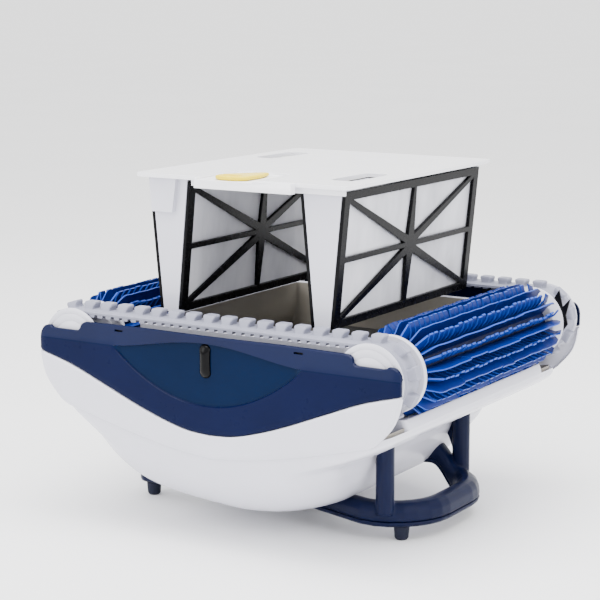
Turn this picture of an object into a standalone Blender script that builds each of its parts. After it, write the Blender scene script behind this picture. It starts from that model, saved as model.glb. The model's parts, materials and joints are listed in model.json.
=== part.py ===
"""Robotic pool cleaner, turned over to stand on its carrying handle, with the filter basket lifted out.

Metres, +Z up, origin on the ground under the middle of the machine. +X is the driving direction, the
brushes and wheels turn about Y, and the machine's normal top (dome and handle) points down to the ground.
Names: front is +X, rear is -X, left is -Y, right is +Y.
"""

import math

import bmesh
import bpy
from mathutils import Matrix, Vector

# ---------------------------------------------------------------- driving dimensions
HALF_WIDTH = 0.206  # outer face of a side panel
AXLE_X = 0.173  # wheel and brush axes
AXLE_Z = 0.190
DRIVE_Z = 0.137  # drive shaft, at X = 0
GAP = 0.0004  # clearance between touching pieces

WALL = 0.004  # hull wall
HULL_HALF_Y = 0.153  # hull's side wall, between the tracks
RIM_Z = 0.2095  # top of the hull's rim
TROUGH_R = 0.050  # hollow that the brush turns in
LIP_HALF_X = 0.194
LIP_Z = 0.1430

BRUSH_R = 0.0455
BRUSH_END_R = 0.034
BRUSH_HALF_Y = 0.1465
BRUSH_TAPER = 0.014
CORE_R = 0.0215
BLADES = 24

WHEEL_SEAT_R = 0.0280
WHEEL_FLANGE_R = 0.033
WHEEL_RING_R = 0.0340
WHEEL_RING_Y = (0.154, 0.160)
WHEEL_FLANGE_Y = (0.1952, 0.1975)
PIN_R = 0.006
PIN_BORE_R = 0.0065

TRACK_Y = (0.163, 0.1945)
TRACK_BUMP_Y = 0.186
TRACK_WRAP_R = 0.0310  # inner face of the belt on a wheel
PULLEY_WRAP_R = 0.0245
BELT = 0.003
BUMP_H = 0.0066
BUMP_PITCH = 0.0209
BUMP_SHARE = 0.56

PANEL_TOP_Z = 0.2155
PANEL_CREASE_Z = 0.1955
PANEL_LEAN = 0.2  # how far the panel leans inwards above its crease
SKIRT_T = 0.003

HANDLE_Z = (0.0150, 0.0208, 0.0400)  # bottom of the strip, parting line, top of the tube
HANDLE_FRONT_X = 0.159  # centre line of the loop
HANDLE_Y = 0.080
HANDLE_END = (-0.005, 0.056)  # where the loop's centre line ends, inside the dome
HANDLE_W = 0.025
HANDLE_BEND_R = 0.055
HANDLE_RISE = 0.0050  # the loop climbs this much towards its rear ends
STRUT = (0.1275, 0.0835, 0.0095)
REAR_RAIL_Y = 0.066
REAR_RAIL_END_X = -0.185

LID_Z = 0.363  # top face of the lid, lifted
LID_T = 0.004
LID_HALF_X = 0.124
LID_HALF_Y = 0.1545
FILTER_TOP_Z = 0.3556
FILTER_BOTTOM_Z = 0.222
FILTER_TOP_X = (0.064, 0.115)  # inner and outer face of a cartridge, at its top
FILTER_BOTTOM_X = (0.077, 0.102)
FILTER_HALF_Y = 0.142
FRAME_T = 0.0035
INLET = (0.092, 0.075, 0.028, 0.075)  # centre x, centre y, width, length of a debris inlet

SIDES = {"left": -1, "right": 1}
ENDS = {"front": 1, "rear": -1}


# ---------------------------------------------------------------- tools
def clear_scene():
    for obj in list(bpy.data.objects):
        bpy.data.objects.remove(obj)


def material(name, colour, roughness, metallic=0.0):
    found = bpy.data.materials.get(name)
    if found:
        return found
    made = bpy.data.materials.new(name)
    made.use_nodes = True
    shader = made.node_tree.nodes["Principled BSDF"]
    shader.inputs["Base Color"].default_value = (*colour, 1.0)
    shader.inputs["Roughness"].default_value = roughness
    shader.inputs["Metallic"].default_value = metallic
    return made


def white_shell():
    return material("white_shell", (0.80, 0.80, 0.84), 0.25)


def blue_shell():
    return material("blue_shell", (0.020, 0.045, 0.16), 0.25)


def handle_blue():
    return material("handle_blue", (0.022, 0.04, 0.15), 0.4)


def brush_blue():
    return material("brush_blue", (0.01, 0.07, 0.50), 0.45)


def track_grey():
    return material("track_grey", (0.62, 0.63, 0.68), 0.6)


def black_plastic():
    return material("black_plastic", (0.012, 0.012, 0.014), 0.3)


def filter_white():
    return material("filter_cloth", (0.75, 0.75, 0.78), 0.9)


def latch_yellow():
    return material("latch_yellow", (0.90, 0.66, 0.02), 0.35)


def grey_plastic():
    return material("grey_plastic", (0.25, 0.26, 0.28), 0.5)


def steel():
    return material("steel", (0.62, 0.62, 0.64), 0.3, 1.0)


def board_green():
    return material("board_green", (0.03, 0.16, 0.06), 0.5)


def place(obj, parent=None, location=(0, 0, 0), matrix=None):
    obj.parent = parent
    obj.location = location
    if matrix is not None:
        obj.matrix_local = matrix
    return obj


def empty(name, location, parent=None):
    made = bpy.data.objects.new(name, None)
    bpy.context.scene.collection.objects.link(made)
    return place(made, parent, location)


def make(name, bm, mat, parent=None, location=(0, 0, 0), matrix=None, sharp=35):
    """A named mesh object from a bmesh, shaded smooth with sharp edges above the given angle."""
    bmesh.ops.recalc_face_normals(bm, faces=bm.faces)
    mesh = bpy.data.meshes.new(name)
    bm.to_mesh(mesh)
    bm.free()
    mesh.materials.append(mat)
    mesh.shade_smooth()
    mesh.set_sharp_from_angle(angle=math.radians(sharp))
    obj = bpy.data.objects.new(name, mesh)
    bpy.context.scene.collection.objects.link(obj)
    return place(obj, parent, location, matrix)


def helper(obj):
    obj.hide_render = True
    obj.display_type = "WIRE"
    return obj


def boolean(obj, other, operation="DIFFERENCE"):
    modifier = obj.modifiers.new(operation.lower(), "BOOLEAN")
    modifier.operation = operation
    modifier.object = helper(other)
    return obj


def bridge(bm, rings, cap_start=True, cap_end=True, closed=False):
    """Faces between consecutive rings of points, each ring a closed loop of the same count."""
    loops = [[bm.verts.new(p) for p in ring] for ring in rings]
    pairs = list(zip(loops, loops[1:]))
    if closed:
        pairs.append((loops[-1], loops[0]))
    for low, high in pairs:
        count = len(low)
        for i in range(count):
            j = (i + 1) % count
            bm.faces.new((low[i], low[j], high[j], high[i]))
    if cap_start and not closed:
        bm.faces.new(reversed(loops[0]))
    if cap_end and not closed:
        bm.faces.new(loops[-1])
    return loops


def loft(rings, **options):
    bm = bmesh.new()
    bridge(bm, rings, **options)
    return bm


def rounded_rectangle(half_x, half_y, radius, corner_steps=3):
    """Points round a rectangle with round corners, anticlockwise from the +X side."""
    points = []
    for quarter, (sx, sy) in enumerate(((1, 1), (-1, 1), (-1, -1), (1, -1))):
        centre = Vector((sx * (half_x - radius), sy * (half_y - radius)))
        for step in range(corner_steps + 1):
            angle = math.radians(90) * (quarter + step / corner_steps)
            points.append(centre + radius * Vector((math.cos(angle), math.sin(angle))))
    return points


def hull_outline(front_x, rear_x, half_y, radius, corner_steps=3, side_steps=7):
    """A rounded rectangle from -rear_x to front_x, whose long sides are divided so that they can bow."""
    middle, half_x = (front_x - rear_x) / 2, (front_x + rear_x) / 2
    points = []
    corners = rounded_rectangle(half_x, half_y, radius, corner_steps)
    for i, here in enumerate(corners):
        points.append(Vector((here.x + middle, here.y)))
        if i % (corner_steps + 1) == corner_steps and (i // (corner_steps + 1)) % 2 == 0:
            after = corners[i + 1]
            for step in range(1, side_steps):
                along = here.lerp(after, step / side_steps)
                points.append(Vector((along.x + middle, along.y)))
    return points


def circle(radius, steps, centre=(0.0, 0.0), phase=0.0):
    return [
        Vector((
            centre[0] + radius * math.cos(phase + math.tau * i / steps),
            centre[1] + radius * math.sin(phase + math.tau * i / steps),
        ))
        for i in range(steps)
    ]


def turn_y(profile, steps, closed=True):
    """A turned shape about Y from a profile of (y, radius), a ring when the profile is closed."""
    rings = [
        [
            Vector((r * math.cos(math.tau * i / steps), y, r * math.sin(math.tau * i / steps)))
            for i in range(steps)
        ]
        for y, r in profile
    ]
    return loft(rings, closed=closed)


def turn_z(profile, steps, closed=True):
    """A turned shape about Z from a profile of (z, radius)."""
    rings = [[Vector((*p, z)) for p in circle(r, steps)] for z, r in profile]
    return loft(rings, closed=closed)


def box(low, high):
    bm = bmesh.new()
    bmesh.ops.create_cube(bm, size=1.0)
    low, high = Vector(low), Vector(high)
    size = high - low
    bmesh.ops.scale(bm, vec=size, verts=bm.verts)
    bmesh.ops.translate(bm, vec=(low + high) / 2, verts=bm.verts)
    return bm


def plate(name, outlines, thickness, mat, parent=None, matrix=None):
    """A flat plate in the local XY plane from an outer outline and holes, as a filled and extruded curve."""
    curve = bpy.data.curves.new(name, "CURVE")
    curve.dimensions = "2D"
    curve.fill_mode = "BOTH"
    curve.extrude = thickness / 2
    for outline in outlines:
        spline = curve.splines.new("POLY")
        spline.points.add(len(outline) - 1)
        for point, at in zip(spline.points, outline):
            point.co = (at[0], at[1], 0.0, 1.0)
        spline.use_cyclic_u = True
    curve.materials.append(mat)
    obj = bpy.data.objects.new(name, curve)
    bpy.context.scene.collection.objects.link(obj)
    return place(obj, parent, matrix=matrix or Matrix.Identity(4))


def axes_matrix(x_axis, y_axis, origin):
    """A placement whose local X and Y run along the two given directions."""
    x_axis, y_axis = Vector(x_axis).normalized(), Vector(y_axis).normalized()
    z_axis = x_axis.cross(y_axis)
    rows = [[x_axis[i], y_axis[i], z_axis[i], origin[i]] for i in range(3)]
    return Matrix([*rows, [0, 0, 0, 1]])


# ---------------------------------------------------------------- hull
def trough_half_x(z, clearance):
    """Half length of the hull beside a brush trough, at a height."""
    reach = TROUGH_R + clearance
    rise = min(abs(AXLE_Z - z), reach)
    return AXLE_X - math.sqrt(reach * reach - rise * rise)


# Hull rings from the lowest upwards: height at the side, front and rear; reach to front and rear; half Y;
# corner radius.
DOME = (
    (0.0205, 0.0205, 0.0205, 0.025, 0.070, 0.083, 0.042),
    (0.0240, 0.0310, 0.0320, 0.070, 0.114, 0.123, 0.056),
    (0.0310, 0.0440, 0.0450, 0.093, 0.137, 0.150, 0.060),
    (0.0430, 0.0600, 0.0600, 0.105, 0.149, 0.170, 0.055),
    (0.0600, 0.0780, 0.0800, 0.114, 0.157, 0.186, 0.048),
    (0.0770, 0.0960, 0.1000, 0.125, 0.164, 0.196, 0.042),
    (0.0865, 0.1150, 0.1150, 0.168, 0.176, 0.2010, 0.036),
    (0.0905, 0.1280, 0.1280, 0.188, 0.189, HALF_WIDTH - 0.0034, 0.032),
)
SHELF = (0.0968, 0.1365, 0.1365, 0.190, 0.191, HULL_HALF_Y, 0.006)
SHOULDER = (*SHELF[:3], 0.189, 0.190, HALF_WIDTH - 0.0034, 0.032)
BOW = 1.45
SWIVEL_X = -0.086  # cable gland's axis


def hull_ring(side_z, front_z, rear_z, front_x, rear_x, half_y, radius, offset=0.0, lift=0.0):
    """A hull ring that rises from its side height to its end heights along X."""
    outline = hull_outline(front_x - offset, rear_x - offset, half_y - offset, max(radius - offset, 0.004))
    ring = []
    for p in outline:
        end_z, end_x = (front_z, front_x) if p.x > 0 else (rear_z, rear_x)
        share = min(abs(p.x) / (end_x - offset), 1.0)
        ring.append(Vector((p.x, p.y, lift + side_z + (end_z - side_z) * share**BOW)))
    return ring


def level_ring(z, half_x, half_y, radius):
    return hull_ring(z, z, z, half_x, half_x, half_y, radius)


def hull_shell():
    """White tub: a dome below, a lip under each brush, and an open rim that the filter lid closes."""
    trough_z = [LIP_Z + 0.0012, 0.147, 0.155, 0.166, 0.178, AXLE_Z, RIM_Z]
    outer = [hull_ring(*row) for row in DOME]
    outer += [hull_ring(*SHOULDER), hull_ring(*SHELF)]
    outer.append(level_ring(LIP_Z - 0.004, LIP_HALF_X, HULL_HALF_Y, 0.006))
    outer.append(level_ring(LIP_Z, LIP_HALF_X, HULL_HALF_Y, 0.006))
    for z in trough_z:
        outer.append(level_ring(z, trough_half_x(min(z, AXLE_Z), 0.0), HULL_HALF_Y, 0.006))
    inner = []
    for z in reversed(trough_z[1:]):
        inner.append(level_ring(z, trough_half_x(min(z, AXLE_Z), WALL), HULL_HALF_Y - WALL, 0.004))
    inner.append(level_ring(LIP_Z - 0.004, AXLE_X - 0.010, HULL_HALF_Y - WALL, 0.004))
    inner.append(level_ring(LIP_Z - 0.0085, LIP_HALF_X - 2 * WALL, HULL_HALF_Y - WALL, 0.004))
    inner.append(hull_ring(*SHELF, offset=WALL, lift=-0.0026))
    for row in reversed(DOME):
        inner.append(hull_ring(*row, offset=WALL, lift=WALL))
    shell = make("hull_shell", loft(outer + inner), white_shell(), sharp=40)
    shaft_hole = make("shaft_hole", turn_y([(-0.2, 0.0092), (0.2, 0.0092)], 15, closed=False), steel(),
                      location=(0, 0, DRIVE_Z))
    outlet_hole = make("outlet_hole", turn_z([(0.0, 0.0405), (0.05, 0.0405)], 24, closed=False), steel())
    boolean(shell, shaft_hole)
    boolean(shell, outlet_hole)
    gland_hole = make("gland_hole", turn_z([(0.010, 0.0095), (0.050, 0.0095)], 16, closed=False), steel(),
                      location=(SWIVEL_X, 0, 0))
    boolean(shell, gland_hole)
    return shell


# ---------------------------------------------------------------- side covers
def mirrored(half):
    """A closed outline from its +X half, which runs from the top middle round to the bottom middle."""
    return half + [(-x, z) for x, z in reversed(half) if x > 1e-9]


def panel_outline():
    """Blue panel: level top with a notch over each wheel, round end, and a deep belly at the middle."""
    half = [(0.0, PANEL_TOP_Z), (0.080, PANEL_TOP_Z), (0.155, 0.2145), (0.159, 0.2065), (0.163, 0.2050)]
    half += [(0.193, 0.2050), (0.197, 0.2075), (0.201, 0.2065), (0.2065, 0.2000), (0.210, 0.1920)]
    half += [(0.210, 0.1815), (0.188, 0.1760), (0.166, 0.1695), (0.124, 0.1530), (0.086, 0.1380)]
    half += [(0.053, 0.1270), (0.026, 0.1205), (0.0, 0.1185)]
    return mirrored(half)


def shoulder_z(x):
    """Middle height of the hull's shoulder, where the skirt's lower edge rests."""
    low, high = DOME[-1], SHELF
    share = (abs(x) / 0.190) ** BOW
    return (low[0] + high[0]) / 2 + ((low[1] + high[1]) / 2 - (low[0] + high[0]) / 2) * share


def skirt_outline():
    """White skirt: from the panel's lower edge to the hull's shoulder."""
    half = [(0.0, 0.1180), (0.026, 0.1200), (0.053, 0.1265), (0.086, 0.1375), (0.124, 0.1525)]
    half += [(0.166, 0.1690), (0.188, 0.1755), (0.2095, 0.1808), (0.2055, 0.1600), (0.1985, 0.1480)]
    half += [(x, shoulder_z(x)) for x in (0.185, 0.160, 0.127, 0.086, 0.042, 0.0)]
    return mirrored(half)


def inset(outline, distance):
    """The outline moved inwards. It runs clockwise in XZ, so its inner side is on its right."""
    moved = []
    count = len(outline)
    for i in range(count):
        before, here, after = (Vector(outline[(i + k) % count]) for k in (-1, 0, 1))
        along_in, along_out = (here - before).normalized(), (after - here).normalized()
        normal_in = Vector((along_in.y, -along_in.x))
        normal_out = Vector((along_out.y, -along_out.x))
        middle = (normal_in + normal_out).normalized()
        stretch = min(1.0 / max(middle.dot(normal_in), 0.5), 1.6)
        moved.append(here + middle * distance * stretch)
    return moved


def tray(outline, side, outer_y, inner_y, wall, edge):
    """A tray in the XZ plane whose flat outer face is at outer_y and whose rim ends at inner_y."""
    levels = ((0.0, inner_y), (0.0, outer_y - edge), (edge, outer_y))
    outer = [[Vector((p[0], side * y, p[1])) for p in inset(outline, d)] for d, y in levels]
    levels = ((wall, outer_y - wall), (wall, inner_y))
    inner = [[Vector((p[0], side * y, p[1])) for p in inset(outline, d)] for d, y in levels]
    bm = bmesh.new()
    loops = bridge(bm, outer + inner, cap_start=False, cap_end=False, closed=False)
    # The flat faces: the middle step between outer and inner loops is replaced by two caps.
    for face in [f for f in bm.faces if all(v in loops[2] or v in loops[3] for v in f.verts)]:
        bm.faces.remove(face)
    bm.faces.new(loops[2])
    bm.faces.new(loops[3])
    count = len(outline)
    for i in range(count):
        j = (i + 1) % count
        bm.faces.new((loops[4][i], loops[4][j], loops[0][j], loops[0][i]))
    return bm


PLUG_AT = (-0.005, 0.191)
PLUG_HALF = (0.0065, 0.0150)
BOSS_AT = (0.080, 0.175)
BOSS_R = 0.008


def stadium(half_x, half_z, steps=5):
    """A slot with round ends, upright in the XZ plane."""
    points = []
    for end in (1, -1):
        for i in range(steps + 1):
            angle = math.pi * i / steps + (0 if end > 0 else math.pi)
            points.append(((half_x * math.cos(angle)), end * (half_z - half_x) + half_x * math.sin(angle)))
    return points


def slot_prism(half_x, half_z, y_low, y_high):
    points = stadium(half_x, half_z)
    return loft([[Vector((x, y, z)) for x, z in points] for y in (y_low, y_high)])


def lean_inwards(bm, side):
    """Bends everything above the crease towards the hull."""
    geometry = bm.verts[:] + bm.edges[:] + bm.faces[:]
    bmesh.ops.bisect_plane(bm, geom=geometry, plane_co=(0, 0, PANEL_CREASE_Z), plane_no=(0, 0, 1), dist=0.00001)
    for vert in bm.verts:
        vert.co.y -= side * PANEL_LEAN * max(vert.co.z - PANEL_CREASE_Z, 0.0)


RECESS_X = (-0.114, 0.104)
RECESS_Z = (0.147, 0.1975)


def recess_prism(y_low, y_high):
    """Lens-shaped cutter: level above, a bow below."""
    low_x, high_x = RECESS_X
    middle, half = (low_x + high_x) / 2, (high_x - low_x) / 2
    steps = 12
    points = [(low_x, RECESS_Z[1]), (high_x, RECESS_Z[1])]
    for i in range(1, steps):
        turn = math.cos(math.pi * i / steps)
        drop = (RECESS_Z[1] - RECESS_Z[0]) * (1 - turn**2) ** 0.8
        points.append((middle + half * turn, RECESS_Z[1] - drop))
    return loft([[Vector((x, y, z)) for x, z in points] for y in (y_low, y_high)])


def side_covers(side_name):
    side = SIDES[side_name]
    bm = tray(panel_outline(), side, HALF_WIDTH, HALF_WIDTH - 0.0038, 0.003, 0.0015)
    lean_inwards(bm, side)
    panel = make(f"side_panel_{side_name}", bm, blue_shell())
    for x in (-BOSS_AT[0], BOSS_AT[0]):
        reach = (side * (HULL_HALF_Y + GAP), side * (HALF_WIDTH - 0.0015))
        boss = turn_y([(y, BOSS_R) for y in reach], 12, closed=False)
        boolean(panel, make(f"boss_{side_name}_{x}", boss, steel(), location=(x, 0, BOSS_AT[1])), "UNION")
    ends = sorted((side * (HALF_WIDTH - 0.01), side * (HALF_WIDTH + 0.01)))
    recess = recess_prism(*sorted((side * (HALF_WIDTH - 0.0017), side * (HALF_WIDTH + 0.01))))
    boolean(panel, make(f"recess_{side_name}", recess, steel()))
    cut = slot_prism(PLUG_HALF[0] + GAP, PLUG_HALF[1] + GAP, *ends)
    boolean(panel, make(f"plug_slot_{side_name}", cut, steel(), location=(PLUG_AT[0], 0, PLUG_AT[1])))
    points = skirt_outline()
    levels = ((0.0, HALF_WIDTH - SKIRT_T), (0.0, HALF_WIDTH - SKIRT_T / 2), (SKIRT_T / 2, HALF_WIDTH))
    rings = [[Vector((p[0], side * y, p[1])) for p in inset(points, d)] for d, y in levels]
    make(f"side_skirt_{side_name}", loft(rings), white_shell())
    points = stadium(*PLUG_HALF)
    levels = ((1.0, -0.0060), (1.0, -0.0005), (0.9, 0.0015), (0.6, 0.0028))
    rings = [[Vector((x * s, side * (HALF_WIDTH + y), z * (0.5 + s / 2))) for x, z in points] for s, y in levels]
    make(f"side_plug_{side_name}", loft(rings), black_plastic(), location=(PLUG_AT[0], 0, PLUG_AT[1]))


# ---------------------------------------------------------------- tracks
def track_path():
    """The belt's inner line in XZ as (point, outward normal) against distance."""
    circles = [
        (Vector((AXLE_X, AXLE_Z)), TRACK_WRAP_R),
        (Vector((-AXLE_X, AXLE_Z)), TRACK_WRAP_R),
        (Vector((0.0, DRIVE_Z)), PULLEY_WRAP_R),
    ]
    normals = []
    for i, (centre, radius) in enumerate(circles):
        other, other_radius = circles[(i + 1) % 3]
        along = other - centre
        base = math.atan2(along.y, along.x)
        normals.append(base - math.acos((radius - other_radius) / along.length))
    pieces = []
    for i, (centre, radius) in enumerate(circles):
        start = normals[i - 1]
        sweep = (normals[i] - start) % math.tau
        pieces.append(("arc", centre, radius, start, sweep))
        other, other_radius = circles[(i + 1) % 3]
        direction = Vector((math.cos(normals[i]), math.sin(normals[i])))
        pieces.append(("line", centre + radius * direction, other + other_radius * direction, direction))
    lengths = [p[2] * p[4] if p[0] == "arc" else (p[2] - p[1]).length for p in pieces]

    def at(distance):
        distance %= sum(lengths)
        for piece, length in zip(pieces, lengths):
            if distance > length:
                distance -= length
                continue
            if piece[0] == "arc":
                angle = piece[3] + distance / piece[2]
                normal = Vector((math.cos(angle), math.sin(angle)))
                return piece[1] + piece[2] * normal, normal
            return piece[1].lerp(piece[2], distance / length), piece[3]
        return pieces[0][1] + pieces[0][2] * Vector((1, 0)), Vector((1, 0))

    return at, sum(lengths)


def track(side_name):
    side = SIDES[side_name]
    at, length = track_path()
    count = round(length / BUMP_PITCH)
    pitch = length / count
    stations = []
    for i in range(count):
        stations += [i * pitch, (i + BUMP_SHARE) * pitch]
    columns = (TRACK_Y[0], TRACK_BUMP_Y, TRACK_Y[1])
    rings = []
    for distance in stations:
        point, normal = at(distance)
        ring = [Vector((point.x, side * columns[0], point.y)), Vector((point.x, side * columns[2], point.y))]
        outer = point + normal * BELT
        ring += [Vector((outer.x, side * y, outer.y)) for y in reversed(columns)]
        rings.append(ring)
    bm = bmesh.new()
    loops = bridge(bm, rings, closed=True)
    bmesh.ops.recalc_face_normals(bm, faces=bm.faces)
    tops = []
    for i in range(0, len(loops), 2):
        corners = {loops[i][3], loops[i][4], loops[i + 1][3], loops[i + 1][4]}
        tops += [f for f in bm.faces if set(f.verts) == corners]
    for face in bmesh.ops.extrude_discrete_faces(bm, faces=tops)["faces"]:
        middle = face.calc_center_median()
        rise = face.normal * BUMP_H
        for vert in face.verts:
            shift = vert.co - middle
            vert.co = middle + Vector((shift.x * 0.84, shift.y * 0.68, shift.z * 0.84)) + rise
    make(f"track_{side_name}", bm, track_grey())


# ---------------------------------------------------------------- axles
def star_ring(y, tip_radius, root_radius):
    """Outline of the brush sleeve at one station: flat blades standing on a round root."""
    points = []
    half = 0.0009
    for i in range(BLADES):
        angle = math.tau * i / BLADES
        out = Vector((math.cos(angle), math.sin(angle)))
        across = Vector((-out.y, out.x))
        root = math.sqrt(root_radius**2 - half**2)
        for radius, shift in ((root, -half), (tip_radius, -half), (tip_radius, half), (root, half)):
            p = out * radius + across * shift
            points.append(Vector((p.x, y, p.y)))
    return points


def axle(end_name):
    """Brush and wheels on one axle, turning together about Y."""
    pivot = empty(f"{end_name}_axle", (ENDS[end_name] * AXLE_X, 0, AXLE_Z))
    core = [(-BRUSH_HALF_Y, 0.0186), (-BRUSH_HALF_Y, CORE_R), (BRUSH_HALF_Y, CORE_R), (BRUSH_HALF_Y, 0.0186)]
    make(f"{end_name}_brush_core", turn_y(core, 20), grey_plastic(), pivot)
    stations = ((-BRUSH_HALF_Y, BRUSH_END_R), (-BRUSH_HALF_Y + BRUSH_TAPER, BRUSH_R),
                (BRUSH_HALF_Y - BRUSH_TAPER, BRUSH_R), (BRUSH_HALF_Y, BRUSH_END_R))
    outer = [star_ring(y, tip, 0.0245) for y, tip in stations]
    steps = len(outer[0])
    phase = -math.pi / BLADES / 4
    inner = [
        [Vector((p.x, y, p.y)) for p in circle(CORE_R + GAP, steps, phase=phase)]
        for y in (BRUSH_HALF_Y, -BRUSH_HALF_Y)
    ]
    make(f"{end_name}_brush_blades", loft(outer + inner, closed=True), brush_blue(), pivot, sharp=20)
    hub, ring = BRUSH_HALF_Y - 0.020, BRUSH_HALF_Y + 0.0006
    profile = [(hub, PIN_BORE_R), (hub, 0.0182), (ring, 0.0182), (ring, 0.030), (WHEEL_RING_Y[0], WHEEL_RING_R)]
    profile += [(WHEEL_RING_Y[1], WHEEL_RING_R), (WHEEL_RING_Y[1] + 0.001, WHEEL_SEAT_R)]
    profile += [(WHEEL_FLANGE_Y[0], WHEEL_SEAT_R), (WHEEL_FLANGE_Y[0], WHEEL_FLANGE_R)]
    profile += [(WHEEL_FLANGE_Y[1], WHEEL_FLANGE_R), (WHEEL_FLANGE_Y[1], PIN_BORE_R)]
    pin = [(hub - 0.001, PIN_R), (WHEEL_FLANGE_Y[1] + 0.0015, PIN_R)]
    for side_name, side in SIDES.items():
        wheel = turn_y([(side * y, r) for y, r in profile], 18)
        make(f"{end_name}_wheel_{side_name}", wheel, white_shell(), pivot)
        make(f"{end_name}_axle_pin_{side_name}", turn_y([(side * y, r) for y, r in pin], 12, closed=False),
             steel(), location=(ENDS[end_name] * AXLE_X, 0, AXLE_Z))
    return pivot


def claw_ring(pivot):
    """Black ring with one forked claw, clipped round the inner flange of the front right wheel."""
    band = WHEEL_RING_R + 0.0022
    fork = ((-14, band), (0, 0.0417), (14, 0.0405), (33, 0.0527), (28, 0.0400), (50, 0.0480), (47, band))
    outline = [(r * math.cos(math.radians(a)), r * math.sin(math.radians(a))) for a, r in fork]
    rest = 20
    for i in range(1, rest):
        angle = math.radians(47 + (360 - 61) * i / rest)
        outline.append((band * math.cos(angle), band * math.sin(angle)))
    width = WHEEL_RING_Y[1] - WHEEL_RING_Y[0] - 0.001
    middle = (WHEEL_RING_Y[0] + WHEEL_RING_Y[1]) / 2
    plate("front_claw_ring", [outline, circle(WHEEL_RING_R + GAP, 24)], width, black_plastic(), pivot,
          axes_matrix((1, 0, 0), (0, 0, 1), (0, middle, 0)))


# ---------------------------------------------------------------- drive and pump
SHAFT_END_Y = 0.2000


def drive():
    """Shaft with a track pulley at each end, turning about Y."""
    pivot = empty("drive_axis", (0, 0, DRIVE_Z))
    make("drive_shaft", turn_y([(-SHAFT_END_Y, 0.004), (SHAFT_END_Y, 0.004)], 12, closed=False), steel(), pivot)
    for side_name, side in SIDES.items():
        low, high = TRACK_Y[0] + 0.002, TRACK_Y[1] + 0.002
        profile = [(low, 0.0044), (low, 0.0222), (low + 0.0025, 0.0222), (low + 0.0025, 0.0205), (high, 0.0205),
                   (high, 0.0222), (high + 0.0020, 0.0222), (high + 0.0020, 0.0044)]
        make(f"drive_pulley_{side_name}", turn_y([(side * y, r) for y, r in profile], 16), grey_plastic(), pivot)
        near, far = HULL_HALF_Y - 0.007, HULL_HALF_Y + 0.0035
        bush = [(near, 0.0046), (near, 0.0088), (far, 0.0088), (far, 0.0046)]
        make(f"shaft_bush_{side_name}", turn_y([(side * y, r) for y, r in bush], 16), black_plastic(),
             location=(0, 0, DRIVE_Z))


CASE_HALF = (0.040, 0.110)
CASE_Z = (0.060, 0.162)


def motor_unit():
    """Sealed case on four legs over the pump duct, with a cover, two motors and a control board."""
    case_wall = 0.003
    low, high = CASE_Z
    half_x, half_y = CASE_HALF
    outline = rounded_rectangle(half_x, half_y, 0.010, 2)
    inside = rounded_rectangle(half_x - case_wall, half_y - case_wall, 0.007, 2)
    rings = [[Vector((*p, z)) for p in points]
             for points, z in ((outline, low), (outline, high), (inside, high), (inside, low + case_wall))]
    case = make("motor_unit_case", loft(rings), grey_plastic())
    for i, (x, y) in enumerate(((1, 1), (-1, 1), (-1, -1), (1, -1))):
        leg = turn_z([(0.0400, 0.005), (low + 0.001, 0.005)], 8, closed=False)
        boolean(case, make(f"case_leg_{i}", leg, steel(), location=(x * 0.030, y * 0.095, 0)), "UNION")
    boolean(case, make("case_shaft_hole", turn_y([(-0.12, 0.0052), (0.12, 0.0052)], 12, closed=False), steel(),
                       location=(0, 0, DRIVE_Z)))
    boolean(case, make("case_pump_hole", turn_z([(0.055, 0.0050), (0.065, 0.0050)], 12, closed=False), steel()))
    cover_levels = ((1.0, high + GAP), (1.0, high + 0.005), (0.88, high + 0.012))
    cover = [[Vector((p.x * s, p.y * (0.5 + s / 2), z)) for p in outline] for s, z in cover_levels]
    make("motor_unit_cover", loft(cover), black_plastic())
    motor = [(-0.075, 0.0046), (-0.075, 0.0225), (-0.005, 0.0225), (-0.005, 0.0046)]
    make("drive_motor", turn_y(motor, 16), steel(), location=(0, 0, DRIVE_Z - 0.0))
    pump = [(low + case_wall + GAP, 0.0046), (low + case_wall + GAP, 0.0180), (0.1080, 0.0180), (0.1080, 0.0046)]
    make("pump_motor", turn_z(pump, 16), steel())
    make("control_board", box((-0.030, 0.024, 0.0800), (0.030, 0.100, 0.0816)), board_green())


def pump():
    """Impeller in its duct, blowing out through the grille in the dome."""
    duct = [(0.0310, 0.0385), (0.0310, 0.0402), (0.0480, 0.0402), (0.0480, 0.0385)]
    make("impeller_duct", turn_z(duct, 24), grey_plastic())
    holes = []
    sectors = 6
    for i in range(sectors):
        start = math.tau * (i + 0.12) / sectors
        sweep = math.tau * 0.76 / sectors
        rows = ((0.036, range(0, 4)), (0.012, range(3, -1, -1)))
        holes.append([(r * math.cos(start + sweep * k / 3), r * math.sin(start + sweep * k / 3))
                      for r, steps in rows for k in steps])
    plate("outlet_grille", [circle(0.040, 24), *holes], 0.004, white_shell(),
          matrix=Matrix.Translation((0, 0, 0.0232)))
    pivot = empty("impeller_axis", (0, 0, 0))
    make("impeller_shaft", turn_z([(0.0345, 0.0035), (0.1090, 0.0035)], 10, closed=False), steel(), pivot)
    hub_profile = [(0.0330, 0.0039), (0.0330, 0.0095), (0.0470, 0.0095), (0.0470, 0.0039)]
    impeller = make("impeller", turn_z(hub_profile, 12), black_plastic(), pivot)
    blades = 4
    for i in range(blades):
        blade = make(f"impeller_blade_{i}", box((0.0085, -0.0105, -0.0008), (0.0365, 0.0105, 0.0008)), steel())
        turned = Matrix.Rotation(math.tau * i / blades, 4, "Z") @ Matrix.Rotation(math.radians(32), 4, "X")
        blade.matrix_local = Matrix.Translation((0, 0, 0.0400)) @ turned
        boolean(impeller, blade, "UNION")



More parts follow.
